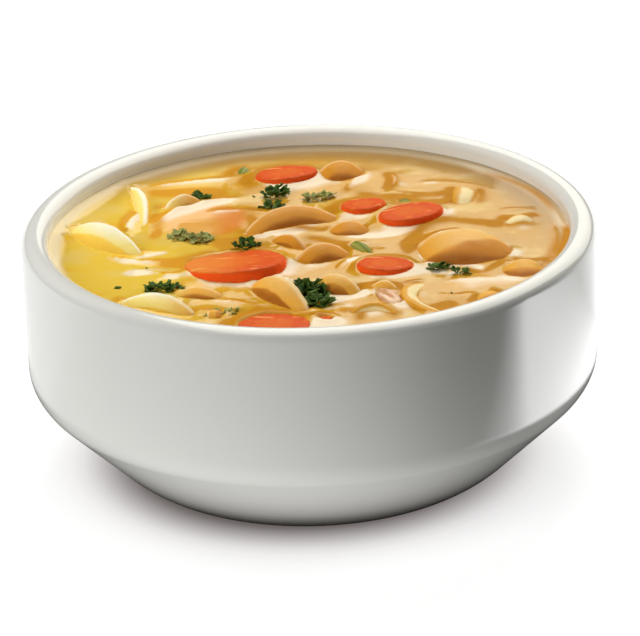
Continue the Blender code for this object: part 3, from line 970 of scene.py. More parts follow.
def sprig_mesh(sprig, leaf):
    """A cluster of leaflets that lie over each other on the broth."""
    rng = random.Random(sprig.seed)
    work = bmesh.new()
    chart = {}
    turn = Matrix.Rotation(math.radians(sprig.heading), 3, "Z")
    for k in range(sprig.leaves):
        angle = 2.4 * k
        spread = math.sqrt((k + 0.5) / sprig.leaves)
        base = Vector((math.cos(angle) * sprig.wide, math.sin(angle) * sprig.deep, 0.0)) * spread * MM
        base = turn @ base
        base.z = (0.15 + rng.uniform(0.1, 1.0) * (1.2 - spread) * sprig.lift) * MM
        heading = angle + rng.uniform(-0.6, 0.6)
        climb = rng.uniform(0.0, 0.6) * sprig.lift
        ahead = Vector((math.cos(heading), math.sin(heading), climb)).normalized()
        side = UP.cross(ahead).normalized()
        side = (Quaternion(ahead, rng.uniform(-0.6, 0.6)) @ side).normalized()
        up = ahead.cross(side).normalized()
        leaflet(work, chart, base, (ahead, side, up), leaf * sprig.scale * rng.uniform(0.6, 1.0), rng)
    return mesh_from(work, sprig.name, chart=chart.get)


def crumbs_mesh():
    """Crumbs of parsley, squashed and uneven."""
    work = bmesh.new()
    for number, (x, y, size) in enumerate(CRUMBS):
        place = Matrix.Translation((x * MM, y * MM, LEVEL + 0.15 * MM))
        turn = Matrix.Rotation(number * 1.7, 4, Vector((0.3, 0.4, 1.0)))
        squash = Matrix.Diagonal((1.0, 0.6, 0.35, 1.0))
        made = bmesh.ops.create_icosphere(work, subdivisions=2, radius=size * MM,
                                          matrix=place @ turn @ squash)
        for vertex in made["verts"]:
            vertex.co += wobble(vertex.co, 0.5 * MM, 0.15 * MM)
    mesh = mesh_from(work, "parsley_crumbs", smooth=False)
    mesh.uv_layers.new(name="chart")
    return mesh


def parsley_material(colours, name, pale):
    """Chopped parsley: dark green, lighter along the veins and towards the teeth."""
    shader = Shader(name)
    vein = shader.noise(1400.0, 2.0)
    tone = shader.layers(
        colours.parsley_leaf,
        (shader.step(shader.chart(0), 0.55, 1.0) * 0.5, (0.10, 0.16, 0.035)),
        (shader.step(vein, 0.55, 0.75) * 0.5, (0.24, 0.36, 0.07)),
        (shader.chart(1) * 0.4, (0.010, 0.035, 0.004)),
        (pale, (0.55, 0.52, 0.17)))
    shader.set(Base_Color=tone, Roughness=0.5 + 0.25 * vein, IOR=1.4, Coat_Weight=0.06,
               Coat_Roughness=0.15, Specular_IOR_Level=0.08)
    shader.bump(vein, 0.1 * MM, 0.6)
    return shader.material


class SOUP_OT_parsley(bpy.types.Operator):
    """Scatter the parsley and its crumbs"""

    bl_idname = "soup.parsley"
    bl_label = "Parsley"

    def execute(self, context):
        colours = context.scene.soup_colours
        fresh = parsley_material(colours, "parsley_leaf", 0.05)
        faded = parsley_material(colours, "parsley_faded", 0.6)
        leaf = context.scene.soup_sizes.leaf
        for sprig in SPRIGS:
            item = add_piece(sprig.name, sprig_mesh(sprig, leaf), "celery", faded if sprig.faded else fresh)
            item.location = (sprig.x * MM, sprig.y * MM, LEVEL)
            blade = item.modifiers.new("blade", "SOLIDIFY")
            blade.thickness = LEAF_THICKNESS
            blade.offset = 0.0
        add_piece("parsley_crumbs", crumbs_mesh(), "celery", fresh)
        return {"FINISHED"}


# --------------------------------------------------------------------- broth

# Low ridges where a noodle's edge lies just under the film: ends, sideways bow, height from 0 to 1.
Ridge = namedtuple("Ridge", "x0 y0 x1 y1 bow height")
RIDGE_REACH = 1.3 * MM
RIDGES = (
    Ridge(42.0, -16.5, 54.5, -16.0, -1.6, 0.4),
    Ridge(54.6, -15.5, 55.6, 6.0, -2.0, 0.45),
    Ridge(43.0, 14.5, 53.0, 12.5, 2.0, 0.25),
    Ridge(-36.5, 8.5, -14.0, 28.5, 5.5, 0.6),
    Ridge(-37.2, 21.0, -41.0, 8.0, -2.0, 0.8),
    Ridge(-46.0, -5.0, -31.5, -9.5, -1.5, 0.6),
    Ridge(-42.0, -14.0, -30.5, -19.0, 1.2, 0.5),
    Ridge(-34.0, -19.0, -24.0, -20.0, 1.4, 0.5),
    Ridge(-16.5, 2.2, 2.0, 10.6, -1.6, 0.7),
    Ridge(-38.0, 36.5, -15.0, 41.0, 1.2, 0.45),
    Ridge(18.0, 31.0, 30.0, 26.0, -1.6, 0.4),
    Ridge(24.0, 34.0, 44.0, 26.0, 3.0, 0.35),
    Ridge(26.0, -6.0, 36.0, 4.0, 3.0, 0.5),
    Ridge(28.0, -27.0, 44.0, -26.0, 1.5, 0.25),
    Ridge(27.0, -33.0, 36.0, -34.0, -1.5, 0.3),
    Ridge(-14.0, -22.0, -2.0, -24.5, 1.2, 0.4),
    Ridge(-22.0, -33.0, -10.0, -44.0, 3.0, 0.4),
    Ridge(6.0, -19.0, 13.0, -11.0, 1.5, 0.35),
    Ridge(-52.0, 8.0, -46.0, 16.0, 1.0, 0.4),
    Ridge(-24.0, 20.0, -8.0, 17.0, 2.0, 0.35),
    Ridge(10.0, 30.0, 14.0, 40.0, 1.5, 0.4),
)

# Colour painted in the film: amber where it stands clear along a noodle, deepened as painted shade, and cream
# as a painted reflection of the light.
# Ends, sideways bow, strength from 0 to 1, half width.
AMBER, CREAM = 0, 1
PaintedBand = namedtuple("PaintedBand", "kind x0 y0 x1 y1 bow height width")
PAINTED_BANDS = (
    PaintedBand(AMBER, 57.8, 3.4, 55.0, -18.8, 1.8, 1.0, 1.3),
    PaintedBand(AMBER, 40.0, 40.0, 56.4, 10.0, 3.4, 0.65, 0.8),
    PaintedBand(AMBER, 24.2, 2.4, 35.0, 11.0, 1.6, 1.0, 1.8),
    PaintedBand(AMBER, 23.0, -11.0, 30.6, 10.4, 3.2, 1.0, 1.8),
    PaintedBand(AMBER, 29.8, 10.0, 45.5, 4.2, 1.8, 1.0, 1.8),
    PaintedBand(AMBER, 15.0, 27.6, 34.8, 28.8, -2.8, 0.8, 1.7),
    PaintedBand(AMBER, 17.6, 42.4, 17.4, 29.3, 2.6, 0.9, 1.6),
    PaintedBand(AMBER, 33.4, 30.0, 33.8, 19.0, -0.8, 0.8, 1.4),
    PaintedBand(AMBER, 39.8, 30.0, 39.2, 19.0, 0.8, 0.8, 1.4),
    PaintedBand(AMBER, 43.0, 9.0, 53.5, 10.2, 1.2, 0.8, 1.2),
    PaintedBand(AMBER, 43.5, 5.8, 53.0, 5.8, -0.8, 0.8, 1.2),
    PaintedBand(AMBER, 54.0, -18.2, 44.0, -15.3, -0.4, 1.0, 1.1),
    PaintedBand(AMBER, 44.8, -15.4, 38.2, -22.2, -0.4, 1.0, 1.1),
    PaintedBand(AMBER, 38.8, -22.0, 33.6, -18.6, 0.3, 1.0, 1.0),
    PaintedBand(AMBER, 13.6, -29.2, 16.0, -25.6, 0.4, 0.9, 1.1),
    PaintedBand(AMBER, 15.6, -25.8, 21.2, -34.0, 1.0, 0.9, 1.3),
    PaintedBand(AMBER, 20.8, -33.0, 26.2, -43.8, -1.2, 1.0, 1.3),
    PaintedBand(AMBER, 10.5, -48.0, 12.0, -39.2, 0.5, 1.0, 1.3),
    PaintedBand(AMBER, 11.6, -39.6, 18.3, -47.0, 1.8, 1.0, 1.3),
    PaintedBand(AMBER, 33.8, -39.2, 42.4, -34.4, 0.4, 0.9, 1.6),
    PaintedBand(AMBER, -35.8, 21.0, -36.0, 3.6, 1.4, 0.8, 1.8),
    PaintedBand(AMBER, -23.0, 1.8, -10.0, -1.0, 0.0, 0.8, 2.9),
    PaintedBand(AMBER, -35.0, -9.6, -26.0, -13.4, 0.0, 0.9, 2.6),
    PaintedBand(AMBER, -41.0, 35.0, -17.0, 32.0, 0.0, 0.7, 4.0),
    PaintedBand(AMBER, -17.5, -44.0, -19.0, -50.0, -0.6, 0.8, 1.9),
    PaintedBand(AMBER, 24.0, -44.0, 32.5, -38.0, 0.4, 0.9, 2.3),
    PaintedBand(AMBER, -9.0, 5.6, 5.0, 5.4, 1.6, 0.9, 1.5),
    PaintedBand(AMBER, -17.0, 43.0, -10.5, 30.0, 0.5, 0.5, 3.2),
    PaintedBand(AMBER, 7.0, 33.0, 16.0, 25.0, 1.0, 0.45, 3.2),
    PaintedBand(AMBER, -3.0, 4.0, 8.5, -4.0, 0.8, 0.6, 2.2),
    PaintedBand(AMBER, 20.0, 24.0, 38.0, 20.5, -0.8, 0.5, 2.0),
    PaintedBand(AMBER, -14.5, 23.0, -12.0, 6.0, 0.6, 0.6, 2.2),
    PaintedBand(CREAM, 6.5, -12.0, 12.5, -15.5, 0.2, 0.8, 1.6),
    PaintedBand(CREAM, 1.5, -42.0, 10.5, -38.5, 0.4, 0.8, 2.0),
    PaintedBand(CREAM, 31.0, -29.5, 50.0, -27.0, -0.4, 0.5, 5.0),
    PaintedBand(CREAM, 26.5, -20.5, 33.0, -22.5, 0.2, 0.7, 1.6),
    PaintedBand(CREAM, 8.0, 2.2, 22.0, 3.6, -1.2, 0.9, 1.3),
    PaintedBand(CREAM, 22.0, 3.0, 34.0, 17.4, -0.6, 0.9, 0.9),
    PaintedBand(CREAM, 3.0, -36.6, 13.6, -32.6, 0.8, 0.9, 1.6),
    PaintedBand(CREAM, 23.8, -9.8, 30.8, -16.2, -0.8, 1.0, 1.1),
    PaintedBand(CREAM, 30.2, -15.8, 39.6, -20.8, 0.4, 1.0, 1.2),
    PaintedBand(CREAM, 40.2, -23.2, 51.0, -28.0, -1.2, 0.9, 1.3),
    PaintedBand(CREAM, -42.5, -16.6, -27.0, -17.0, 2.4, 0.9, 1.9),
    PaintedBand(CREAM, -41.5, -9.0, -31.0, -3.0, 0.3, 0.9, 1.1),
    PaintedBand(CREAM, -32.5, 18.2, -16.5, 26.8, 1.0, 0.7, 1.1),
)

WATERLINE_STEP = 0.25 * MM
COVERED_REACH = 0.5 * MM        # under a piece the film falls away at once
NEAR = 0.6 * MM                 # closer to a piece than this the film's slope is not told apart
SKIN_MARGIN = 7.0 * MM          # past this the film doesn't feel a piece
SKIN_OVERLAP = 0.9 * MM         # how far the film's mesh runs into the bowl's wall
SKIN_CEILING = 1.6              # how high the film may climb where menisci meet, over one meniscus
RIPPLE_LENGTH = 9.0 * MM
RIPPLE_HEIGHT = 0.05 * MM
NEIGHBOURS = 5                  # points of a waterline whose uprightness is averaged
CORE_DEPTH = 3.6 * MM
CORE_OVERLAP = 0.2 * MM


def waterline(item):
    """Points where a piece meets the broth's level, each with how upright it is there; and the piece."""
    work = bmesh.new()
    work.from_mesh(item.data)
    work.transform(item.matrix_basis)
    solid = BVHTree.FromBMesh(work)
    cut = bmesh.ops.bisect_plane(work, geom=work.verts[:] + work.edges[:] + work.faces[:],
                                 plane_co=UP * LEVEL, plane_no=UP)
    points = []
    for edge in cut["geom_cut"]:
        if not isinstance(edge, bmesh.types.BMEdge):
            continue
        upright = max(1.0 - abs(face.normal.z) for face in edge.link_faces)
        start, end = (vertex.co for vertex in edge.verts)
        count = max(1, round((end - start).length / WATERLINE_STEP))
        for k in range(count):
            points.append((start.lerp(end, (k + 0.5) / count), upright))
    work.free()
    return points, solid


def ridge_points(ridge):
    """Points along a low arc, each as upright as the ridge is high."""
    start = Vector((ridge.x0, ridge.y0, 0.0)) * MM
    end = Vector((ridge.x1, ridge.y1, 0.0)) * MM
    run = end - start
    count = round(run.length / WATERLINE_STEP)
    points = []
    for k in range(count + 1):
        share = k / count
        bow = UP.cross(run).normalized() * (4 * share * (1 - share) * ridge.bow * MM)
        fade = min(1.0, 6 * share * (1 - share))
        points.append((start + run * share + bow, ridge.height * fade))
    return points


def spread(points, places):
    """Every place near weighted points: its number, the way to it, how far, and their mean weight."""
    tree = KDTree(len(points))
    for number, (point, _) in enumerate(points):
        tree.insert((point.x, point.y, 0.0), number)
    tree.balance()
    across = [point.x for point, _ in points]
    along = [point.y for point, _ in points]
    low_x, high_x = min(across) - SKIN_MARGIN, max(across) + SKIN_MARGIN
    low_y, high_y = min(along) - SKIN_MARGIN, max(along) + SKIN_MARGIN
    for number, place in enumerate(places):
        if low_x < place.x < high_x and low_y < place.y < high_y:
            near = tree.find_n((place.x, place.y, 0.0), NEIGHBOURS)
            way = Vector((place.x - near[0][0].x, place.y - near[0][0].y))
            yield number, way, near[0][2], sum(points[found[1]][1] for found in near) / len(near)


def facing(way, steepness):
    """How far a slope that falls this way faces the front and the right side."""
    way = way.normalized() * steepness
    return way.x * 0.6 - way.y


def skin_heights(places, sizes, items):
    """How far the broth stands over its level at each place, and how far it slopes to the front."""
    radius = RIM_RADIUS - sizes.wall
    heights = []
    slopes = []
    for place in places:
        flat = Vector((place.x, place.y))
        rise = sizes.climb * math.exp(-max(radius - flat.length, 0.0) / sizes.reach)
        heights.append(rise)
        slopes.append(facing(-flat, rise / sizes.reach))
    for item in items:
        points, solid = waterline(item)
        if not points:
            continue
        for number, way, distance, upright in spread(points, places):
            above = Vector((places[number].x, places[number].y, LEVEL + 2 * SKIN_MARGIN))
            covered = solid.ray_cast(above, -UP, 2 * SKIN_MARGIN)[0]
            climb = sizes.climb * min(1.0, upright)
            reach = COVERED_REACH if covered else sizes.reach
            heights[number] += climb * math.exp(-distance / reach)
            steepness = climb / sizes.reach * math.exp(-distance / sizes.reach) * min(1.0, distance / NEAR)
            slopes[number] += facing(-way if covered else way, steepness)
    for ridge in RIDGES:
        for number, way, distance, weight in spread(ridge_points(ridge), places):
            rise = sizes.climb * weight * math.exp(-distance / RIDGE_REACH)
            heights[number] += rise
            slopes[number] += facing(way, rise / RIDGE_REACH)
    return heights, slopes


def painted_band_levels(places):
    """How much painted amber shade and painted cream reflection the film gets at each place, both from 0 to
    1.
    """
    levels = [[0.0, 0.0] for _ in places]
    for painted_band in PAINTED_BANDS:
        for number, _, distance, weight in spread(ridge_points(painted_band), places):
            level = weight * math.exp(-(distance / (painted_band.width * MM)) ** 2)
            levels[number][painted_band.kind] = max(levels[number][painted_band.kind], level)
    return levels


def smoothed(vertices, values, rounds):
    """The values of a mesh's vertices, each drawn towards its neighbours' mean."""
    for _ in range(rounds):
        means = []
        for vertex in vertices:
            near = [values[edge.other_vert(vertex).index] for edge in vertex.link_edges]
            means.append(sum(near) / len(near))
        values = [(value + mean) / 2 for value, mean in zip(values, means)]
    return values


def broth_skin(sizes, items):
    """The broth's surface: level, and curved up where it wets the wall and the pieces."""
    radius = RIM_RADIUS - sizes.wall + SKIN_OVERLAP
    count = round(2 * radius / sizes.skin_cell)
    work = bmesh.new()
    bmesh.ops.create_grid(work, x_segments=count, y_segments=count, size=radius)
    outside = [vertex for vertex in work.verts if vertex.co.length > radius]
    bmesh.ops.delete(work, geom=outside, context="VERTS")
    places = [vertex.co.copy() for vertex in work.verts]
    work.verts.index_update()
    heights, slopes = skin_heights(places, sizes, items)
    heights = smoothed(work.verts, heights, 1)
    slopes = smoothed(work.verts, slopes, 2)
    for vertex, height in zip(work.verts, heights):
        ripple = noise.noise(vertex.co / RIPPLE_LENGTH) * RIPPLE_HEIGHT
        vertex.co.z = LEVEL + min(height, SKIN_CEILING * sizes.climb) + ripple
    # The chart carries the painted amber shade, and a slope that decides the painted cream reflection.
    chart = [(amber, max(-1.0, min(1.0, slope + cream * 0.3 - amber * 0.22)))
             for slope, (amber, cream) in zip(slopes, painted_band_levels(places))]
    return mesh_from(work, "broth_surface", chart=lambda vertex: chart[vertex.index])


def skin_material(colours):
    """The broth's surface: a cloudy film, with a painted cream reflection where it slopes to the front, and
    amber behind pieces deepened as painted shade.
    """
    shader = Shader("broth_surface")
    x = shader.place(0)
    y = shader.place(1)
    away = span(x, y)
    drift = shader.noise(55.0, 3.0)
    swirl = shader.noise(95.0, 4.0, stretch=(0.55, 1.0, 1.0))
    fine = shader.noise(320.0, 3.0)
    slope = shader.chart(1) + (fine - 0.5) * 0.04
    left = shader.step(x + (drift - 0.5) * (26.0 * MM), -12.0 * MM, -32.0 * MM)
    open_water = shader.step(away, 0.88 * RIM_RADIUS, 0.80 * RIM_RADIUS)
    # Painted reflection: the film is paler where it climbs the wall, beige at the back.
    wall_meniscus_light = shader.step(away, 0.855 * RIM_RADIUS, 0.885 * RIM_RADIUS)
    # Painted shade: a dark band at the back, where the wall's shade falls on the film and is mirrored in it.
    wall = shader.step(away, 0.74 * RIM_RADIUS, 0.87 * RIM_RADIUS) * shader.step(y + x * 0.3, 0.0, 40.0 * MM)
    right_wall = shader.step(away, 0.83 * RIM_RADIUS, 0.87 * RIM_RADIUS) * shader.step(x, 0.0, 20.0 * MM)
    # Painted reflection: cream where the film slopes to the front; painted shade: darker amber where it
    # slopes back.
    cream = shader.step(slope, 0.05, 0.24) * open_water
    amber = shader.step(slope, -0.04, -0.17)
    amber = amber * (1.0 - right_wall * shader.step(y, -10.0 * MM, 1.0 * MM) * 0.75)
    carrot_x = (x - SUNKEN_CARROT.x * MM) / (SUNKEN_CARROT.long * MM / 2)
    carrot_y = (y - SUNKEN_CARROT.y * MM) / (SUNKEN_CARROT.short * MM / 2)
    blush = shader.step(span(carrot_x, carrot_y) + (drift - 0.5) * 0.8, 1.15, 0.75)
    warm = shader.step(x + (fine - 0.5) * (4.0 * MM), -24.0 * MM, -17.0 * MM)
    tone = shader.layers(
        colours.broth_amber,
        (left, colours.broth_yellow),
        (shader.step(swirl, 0.52, 0.66) * 0.6, shader.mix(left, (0.82, 0.40, 0.02), (0.99, 0.54, 0.03))),
        (shader.step(swirl, 0.46, 0.34) * 0.5, (0.98, 0.72, 0.22)),
        (shader.step(fine, 0.5, 0.75) * 0.3, (0.98, 0.70, 0.22)),
        (blush * (0.7 + 0.2 * warm), shader.mix(warm, (0.94, 0.42, 0.11), (0.90, 0.25, 0.012))),
        (wall * 0.9, (0.39, 0.22, 0.065)),
        (amber * 0.75, shader.mix(left, (0.72, 0.28, 0.015), (0.90, 0.45, 0.02))),
        (cream * 0.85, colours.broth_cream),
        (wall_meniscus_light * 0.7, shader.mix(wall, (0.93, 0.80, 0.52), (0.70, 0.57, 0.37))))
    shader.set(Base_Color=tone, Roughness=0.05 + 0.04 * fine, IOR=1.34, Alpha=0.93 + 0.06 * cream)
    # Where the film is clear a second surface with next to no reflection shows through: deep amber darkened
    # as painted shade, and orange over the sunken carrot.
    bare = blush * warm * (1.0 - cream * 0.6)
    pool = shader.layers(
        shader.mix(fine, (0.46, 0.18, 0.006), (0.60, 0.27, 0.012)),
        (left, (0.72, 0.33, 0.02)),
        (bare, shader.mix(fine, (0.60, 0.17, 0.012), (0.74, 0.27, 0.035))))
    clear = (shader.chart(0) * 1.1 + amber * 0.7 * (1.0 - cream) + bare * 0.75).clamp()
    shader.show(clear, {"Base Color": pool, "Roughness": 0.4, "Specular IOR Level": 0.02})
    shader.bump(drift, 0.4 * MM, 0.10)
    return shader.material


def core_material():
    """The depth of the broth, seen through its surface."""
    shader = Shader("broth_depth")
    cloud = shader.noise(70.0, 3.0)
    left = shader.step(shader.place(0) + (cloud - 0.5) * (30.0 * MM), -12.0 * MM, -34.0 * MM)
    tone = shader.layers((0.62, 0.23, 0.018), (left, (0.92, 0.50, 0.04)), (cloud * 0.4, (0.76, 0.36, 0.04)))
    shader.set(Base_Color=tone, Roughness=0.5 + 0.1 * cloud, Specular_IOR_Level=0.05)
    return shader.material


class SOUP_OT_broth(bpy.types.Operator):
    """Fill in the broth round the pieces that are already there"""

    bl_idname = "soup.broth"
    bl_label = "Broth"

    def execute(self, context):
        sizes = context.scene.soup_sizes
        kinds = ("egg_noodle", "celery_slice", "carrot_slice", "chicken_meat")
        items = [item for item in context.scene.objects if item.name.startswith(kinds)]
        if not items:
            raise RuntimeError("The broth is cut round its pieces: make them first")
        film = skin_material(context.scene.soup_colours)
        add_piece("broth_surface", broth_skin(sizes, items), "broth", film, "broth")
        top = LEVEL - CORE_DEPTH
        profile = [(0.0, top), (RIM_RADIUS - sizes.wall + CORE_OVERLAP, top)]
        mesh = turned("broth_depth", profile + inside_profile(sizes.wall, -CORE_OVERLAP, 16), 96)
        add_piece("broth_depth", mesh, "broth", core_material())
        return {"FINISHED"}


# ------------------------------------------------------------- stage, camera

CAMERA_REACH = 1000.0 * MM      # from the middle of the rim to the camera
CAMERA_HEIGHT = math.radians(21.65)
CAMERA_AIM = Vector((1.87, -8.31, 37.69)) * MM
CAMERA_ROLL = math.radians(1.925)
CAMERA_LENS = 248.74

Softbox = namedtuple("Softbox", "name place aim width height power tint")

SOFTBOXES = (
    Softbox("light_back_top", (0.08, 0.46, 0.72), (0.0, 0.0, 0.03), 0.46, 0.46, 5.2, (1.0, 0.98, 0.94)),
    Softbox("light_left", (-0.690, -0.552, 0.469), (0.0, 0.0, 0.03), 0.50, 0.50, 5.3, (1.0, 1.0, 0.99)),
    Softbox("light_left_near", (-0.26, 0.10, 0.20), (-0.04, 0.0, 0.05), 0.12, 0.12, 0.15, (1.0, 0.99, 0.95)),
    Softbox("light_right", (0.768, 0.408, 0.233), (0.0, 0.0, 0.03), 0.28, 0.28, 3.5, (1.0, 0.99, 0.96)),
)

# What the dish's dull surfaces get from the floor, by direction in degrees from the front, positive
# to the right: from the wide floor, and from the ring of it next to the foot.
FLOOR_GLOW = ((-180, 0.6), (-130, 0.6), (-90, 0.35), (-50, 0.38), (-20, 0.36), (5, 0.36), (26, 0.08),
              (42, 0.0), (80, 0.1), (130, 0.5), (180, 0.6))
FOOT_GLOW = ((-180, 0.55), (-80, 0.54), (-35, 0.78), (0, 0.95), (24, 0.86), (40, 0.66), (80, 0.22),
             (180, 0.55))
FOOT_RING_RADIUS = 90.0 * MM
FOOT_RING_FADE = 140.0 * MM

# What its glaze mirrors from the floor, by the distance behind the dish's middle, in millimetres.
GLOSS_RIGHT = ((-120, 0.0), (-74, 0.0), (-56, 2.4), (-38, 6.2), (0, 4.6), (25, 3.3), (70, 1.4), (120, 1.5))
GLOSS_LEFT = ((-120, 0.0), (-50, 0.1), (0, 0.6), (25, 0.95), (70, 1.1), (120, 1.1))
GLOSS_REACH = 120.0

FLOOR_WIDTH = 12.0
FLOOR_SHOWN = 0.85
ROOM_GLOW = 0.03                # what the dish gets from the white all round
SHADOW_X = -1.8 * MM
SHADOW_Y = 2.0 * MM
SHADOW_REACH = 80.0
SHADOW_TINT = (1.0, 1.07, 1.08)
SHADOW_SPILL = 0.8              # how much a distance counts in the shadow on what the floor sheds on the dish
# How much light is left on the floor by the distance from the dish's middle, in millimetres.
SHADOW = ((36.0, 0.07), (39.0, 0.12), (41.5, 0.20), (43.5, 0.31), (45.5, 0.42), (48.0, 0.56), (50.0, 0.68),
          (52.0, 0.78), (55.0, 0.87), (59.0, 0.94), (66.0, 1.0))


def aimed(place, aim):
    """The rotation of something that stands at place and looks at aim."""
    return (Vector(aim) - Vector(place)).to_track_quat("-Z", "Y")


def floor_material():
    """A white sweep: what each side of the dish gets from it is set apart from how it looks."""
    shader = Shader("white_floor", "ShaderNodeBsdfDiffuse")
    x = shader.place(0)
    y = shader.place(1)
    away = span(x, y)
    # Painted shadow: round the dish the floor's colour and the glow that the camera sees are both darkened.
    shadow = stops(SHADOW, 0.0, SHADOW_REACH, SHADOW_TINT)
    reach = span(x - SHADOW_X, y - SHADOW_Y) / (SHADOW_REACH * MM)
    shade = shader.ramp(reach, shadow)
    spill = shader.ramp(reach * SHADOW_SPILL, shadow)
    shader.set(Color=shader.mix(1.0, (0.3, 0.3, 0.3), shade, "MULTIPLY"))
    turn = x.angle(y * -1.0) / (2 * math.pi) + 0.5
    wide = shader.ramp(turn, stops(FLOOR_GLOW, -180, 180))
    near = shader.ramp(turn, stops(FOOT_GLOW, -180, 180))
    lit = shader.mix(shader.step(away, FOOT_RING_FADE, FOOT_RING_RADIUS), wide, near, "ADD")
    dull = shader.node("ShaderNodeEmission", {}, {"Color": shader.mix(1.0, lit, spill, "MULTIPLY")})
    depth = y / (2 * GLOSS_REACH * MM) + 0.5
    left, right = (shader.ramp(depth, stops(table, -GLOSS_REACH, GLOSS_REACH))
                   for table in (GLOSS_LEFT, GLOSS_RIGHT))
    mirrored = shader.mix(shader.step(x, -20.0 * MM, 20.0 * MM), left, right)
    bright = shader.node("ShaderNodeEmission", {}, {
        "Color": mirrored, "Strength": shader.step(away, 85.0 * MM, 105.0 * MM)})
    glossy_ray = shader.node("ShaderNodeLightPath", {}, {}, "Is Glossy Ray")
    unseen = shader.node("ShaderNodeMixShader", {}, {0: glossy_ray, 1: dull, 2: bright})
    shown = shader.node("ShaderNodeEmission", {}, {"Color": shade, "Strength": FLOOR_SHOWN})
    seen = shader.node("ShaderNodeAddShader", {}, {0: Wire(shader, shader.surface.outputs[0]), 1: shown})
    camera_ray = shader.node("ShaderNodeLightPath", {}, {}, "Is Camera Ray")
    shader.plug(shader.output.inputs["Surface"],
                shader.node("ShaderNodeMixShader", {}, {0: camera_ray, 1: unseen, 2: seen}))
    return shader.material


CARD_RADIUS = 0.5
CARD_CENTRE_Z = 0.05
CARD_LEFT = -0.45
CARD_RIGHT = 0.60
CARD_ARC = (12, 104)            # degrees over the horizon behind the dish
# How bright the card is by its angle over the horizon.
CARD_GLOW = ((12, 1.5), (22, 2.1), (32, 2.7), (42, 3.2), (52, 3.4), (62, 3.7), (74, 3.7), (104, 3.0))
CARD_GLOW_TOP = 3.7
CARD_STEPS = 32


def card_mesh():
    """A curved reflector that runs up behind the dish and over it."""
    low, high = CARD_ARC
    work = bmesh.new()
    rows = []
    for step in range(CARD_STEPS + 1):
        angle = math.radians(low + (high - low) * step / CARD_STEPS)
        y = CARD_RADIUS * math.cos(angle)
        z = CARD_CENTRE_Z + CARD_RADIUS * math.sin(angle)
        rows.append([work.verts.new((x, y, z)) for x in (CARD_LEFT, CARD_RIGHT)])
    for first, second in zip(rows, rows[1:]):
        work.faces.new((first[0], first[1], second[1], second[0]))
    return mesh_from(work, "softbox_card", smooth=False)


def card_material():
    """The glow of the softboxes behind and over the dish, which only reflections see."""
    shader = Shader("softbox_glow", "ShaderNodeEmission")
    x, y, z = (shader.part(shader.here(), index) for index in range(3))
    inside = shader.step(x + z * 0.49, 0.075, 0.098)
    low, high = CARD_ARC
    share = ((z - CARD_CENTRE_Z).angle(y) * (180 / math.pi) - low) / (high - low)
    table = [(place, level / CARD_GLOW_TOP) for place, level in CARD_GLOW]
    glow = shader.ramp(share, stops(table, low, high))
    shader.set(Color=shader.mix(1.0, glow, (1.0, 0.97, 0.86), "MULTIPLY"), Strength=inside * CARD_GLOW_TOP)
    return shader.material


class SOUP_OT_stage(bpy.types.Operator):
    """Set the floor, the softboxes and the world"""

    bl_idname = "soup.stage"
    bl_label = "Stage"

    def execute(self, context):
        bpy.ops.mesh.primitive_plane_add(size=FLOOR_WIDTH, location=(0.0, 0.0, 0.0))
        floor = context.object
        floor.name = "floor"
        floor.data.materials.append(floor_material())
        card = bpy.data.objects.new("softbox_card", card_mesh())
        context.scene.collection.objects.link(card)
        card.data.materials.append(card_material())
        for kind in ("visible_camera", "visible_diffuse", "visible_shadow", "visible_transmission"):
            setattr(card, kind, False)
        for box in SOFTBOXES:
            light = bpy.data.lights.new(box.name, "AREA")
            light.shape = "RECTANGLE"
            light.size = box.width
            light.size_y = box.height
            light.energy = box.power
            light.color = box.tint
            item = bpy.data.objects.new(box.name, light)
            item.visible_glossy = box.name == "light_back_top"
            item.location = box.place
            item.rotation_mode = "QUATERNION"
            item.rotation_quaternion = aimed(box.place, box.aim)
            context.scene.collection.objects.link(item)
        world = bpy.data.worlds.new("soft_room")
        world.use_nodes = True
        tree = world.node_tree
        backdrop = tree.nodes["Background"]
        backdrop.inputs["Color"].default_value = (1.0, 1.0, 1.0, 1.0)
        ray = tree.nodes.new("ShaderNodeLightPath")
        shown = tree.nodes.new("ShaderNodeMath")
        shown.operation = "MAXIMUM"
        shown.inputs[1].default_value = ROOM_GLOW
        tree.links.new(ray.outputs["Is Camera Ray"], shown.inputs[0])
        tree.links.new(shown.outputs[0], backdrop.inputs["Strength"])
        context.scene.world = world
        context.scene.view_settings.view_transform = "Standard"
        return {"FINISHED"}


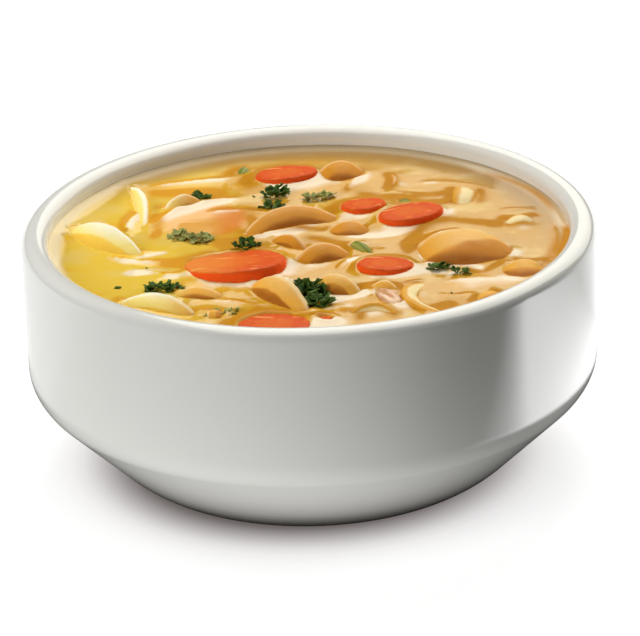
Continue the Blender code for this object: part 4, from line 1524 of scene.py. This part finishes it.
class SOUP_OT_camera(bpy.types.Operator):
    """Place the camera"""

    bl_idname = "soup.camera"
    bl_label = "Camera"

    def execute(self, context):
        data = bpy.data.cameras.new("camera")
        data.lens = CAMERA_LENS
        data.sensor_width = 36.0
        item = bpy.data.objects.new("camera", data)
        context.scene.collection.objects.link(item)
        item.location = (0.0, -math.cos(CAMERA_HEIGHT) * CAMERA_REACH,
                         BOWL_HEIGHT + math.sin(CAMERA_HEIGHT) * CAMERA_REACH)
        item.rotation_mode = "QUATERNION"
        item.rotation_quaternion = aimed(item.location, CAMERA_AIM) @ Quaternion(UP, -CAMERA_ROLL)
        data.clip_start = 0.01
        data.clip_end = 50.0
        context.scene.camera = item
        return {"FINISHED"}


# ------------------------------------------------------------------- the add-on

class SOUP_PT_panel(bpy.types.Panel):
    """Sizes, colours and pieces of the soup"""

    bl_idname = "SOUP_PT_panel"
    bl_label = "Chicken noodle soup"
    bl_space_type = "VIEW_3D"
    bl_region_type = "UI"
    bl_category = "Soup"

    def draw(self, context):
        for title, group in (("Sizes", context.scene.soup_sizes), ("Colours", context.scene.soup_colours)):
            box = self.layout.box()
            box.label(text=title)
            for key in group.__annotations__:
                box.prop(group, key)
        column = self.layout.column(align=True)
        for operator in OPERATORS:
            column.operator(operator.bl_idname)


OPERATORS = (SOUP_OT_bowl, SOUP_OT_noodles, SOUP_OT_celery, SOUP_OT_carrots, SOUP_OT_chicken,
             SOUP_OT_sunken, SOUP_OT_parsley, SOUP_OT_broth, SOUP_OT_stage, SOUP_OT_camera)
CLASSES = (SoupSizes, SoupColours, *OPERATORS, SOUP_PT_panel)


def register():
    for item in CLASSES:
        bpy.utils.register_class(item)
    bpy.types.Scene.soup_sizes = PointerProperty(type=SoupSizes)
    bpy.types.Scene.soup_colours = PointerProperty(type=SoupColours)


def unregister():
    del bpy.types.Scene.soup_colours
    del bpy.types.Scene.soup_sizes
    for item in reversed(CLASSES):
        bpy.utils.unregister_class(item)


def main():
    register()
    bpy.ops.soup.bowl()
    bpy.ops.soup.noodles()
    bpy.ops.soup.celery()
    bpy.ops.soup.carrots()
    bpy.ops.soup.chicken()
    bpy.ops.soup.sunken()
    bpy.ops.soup.parsley()
    bpy.ops.soup.broth()
    bpy.ops.soup.stage()
    bpy.ops.soup.camera()


if __name__ == "__main__":
    main()
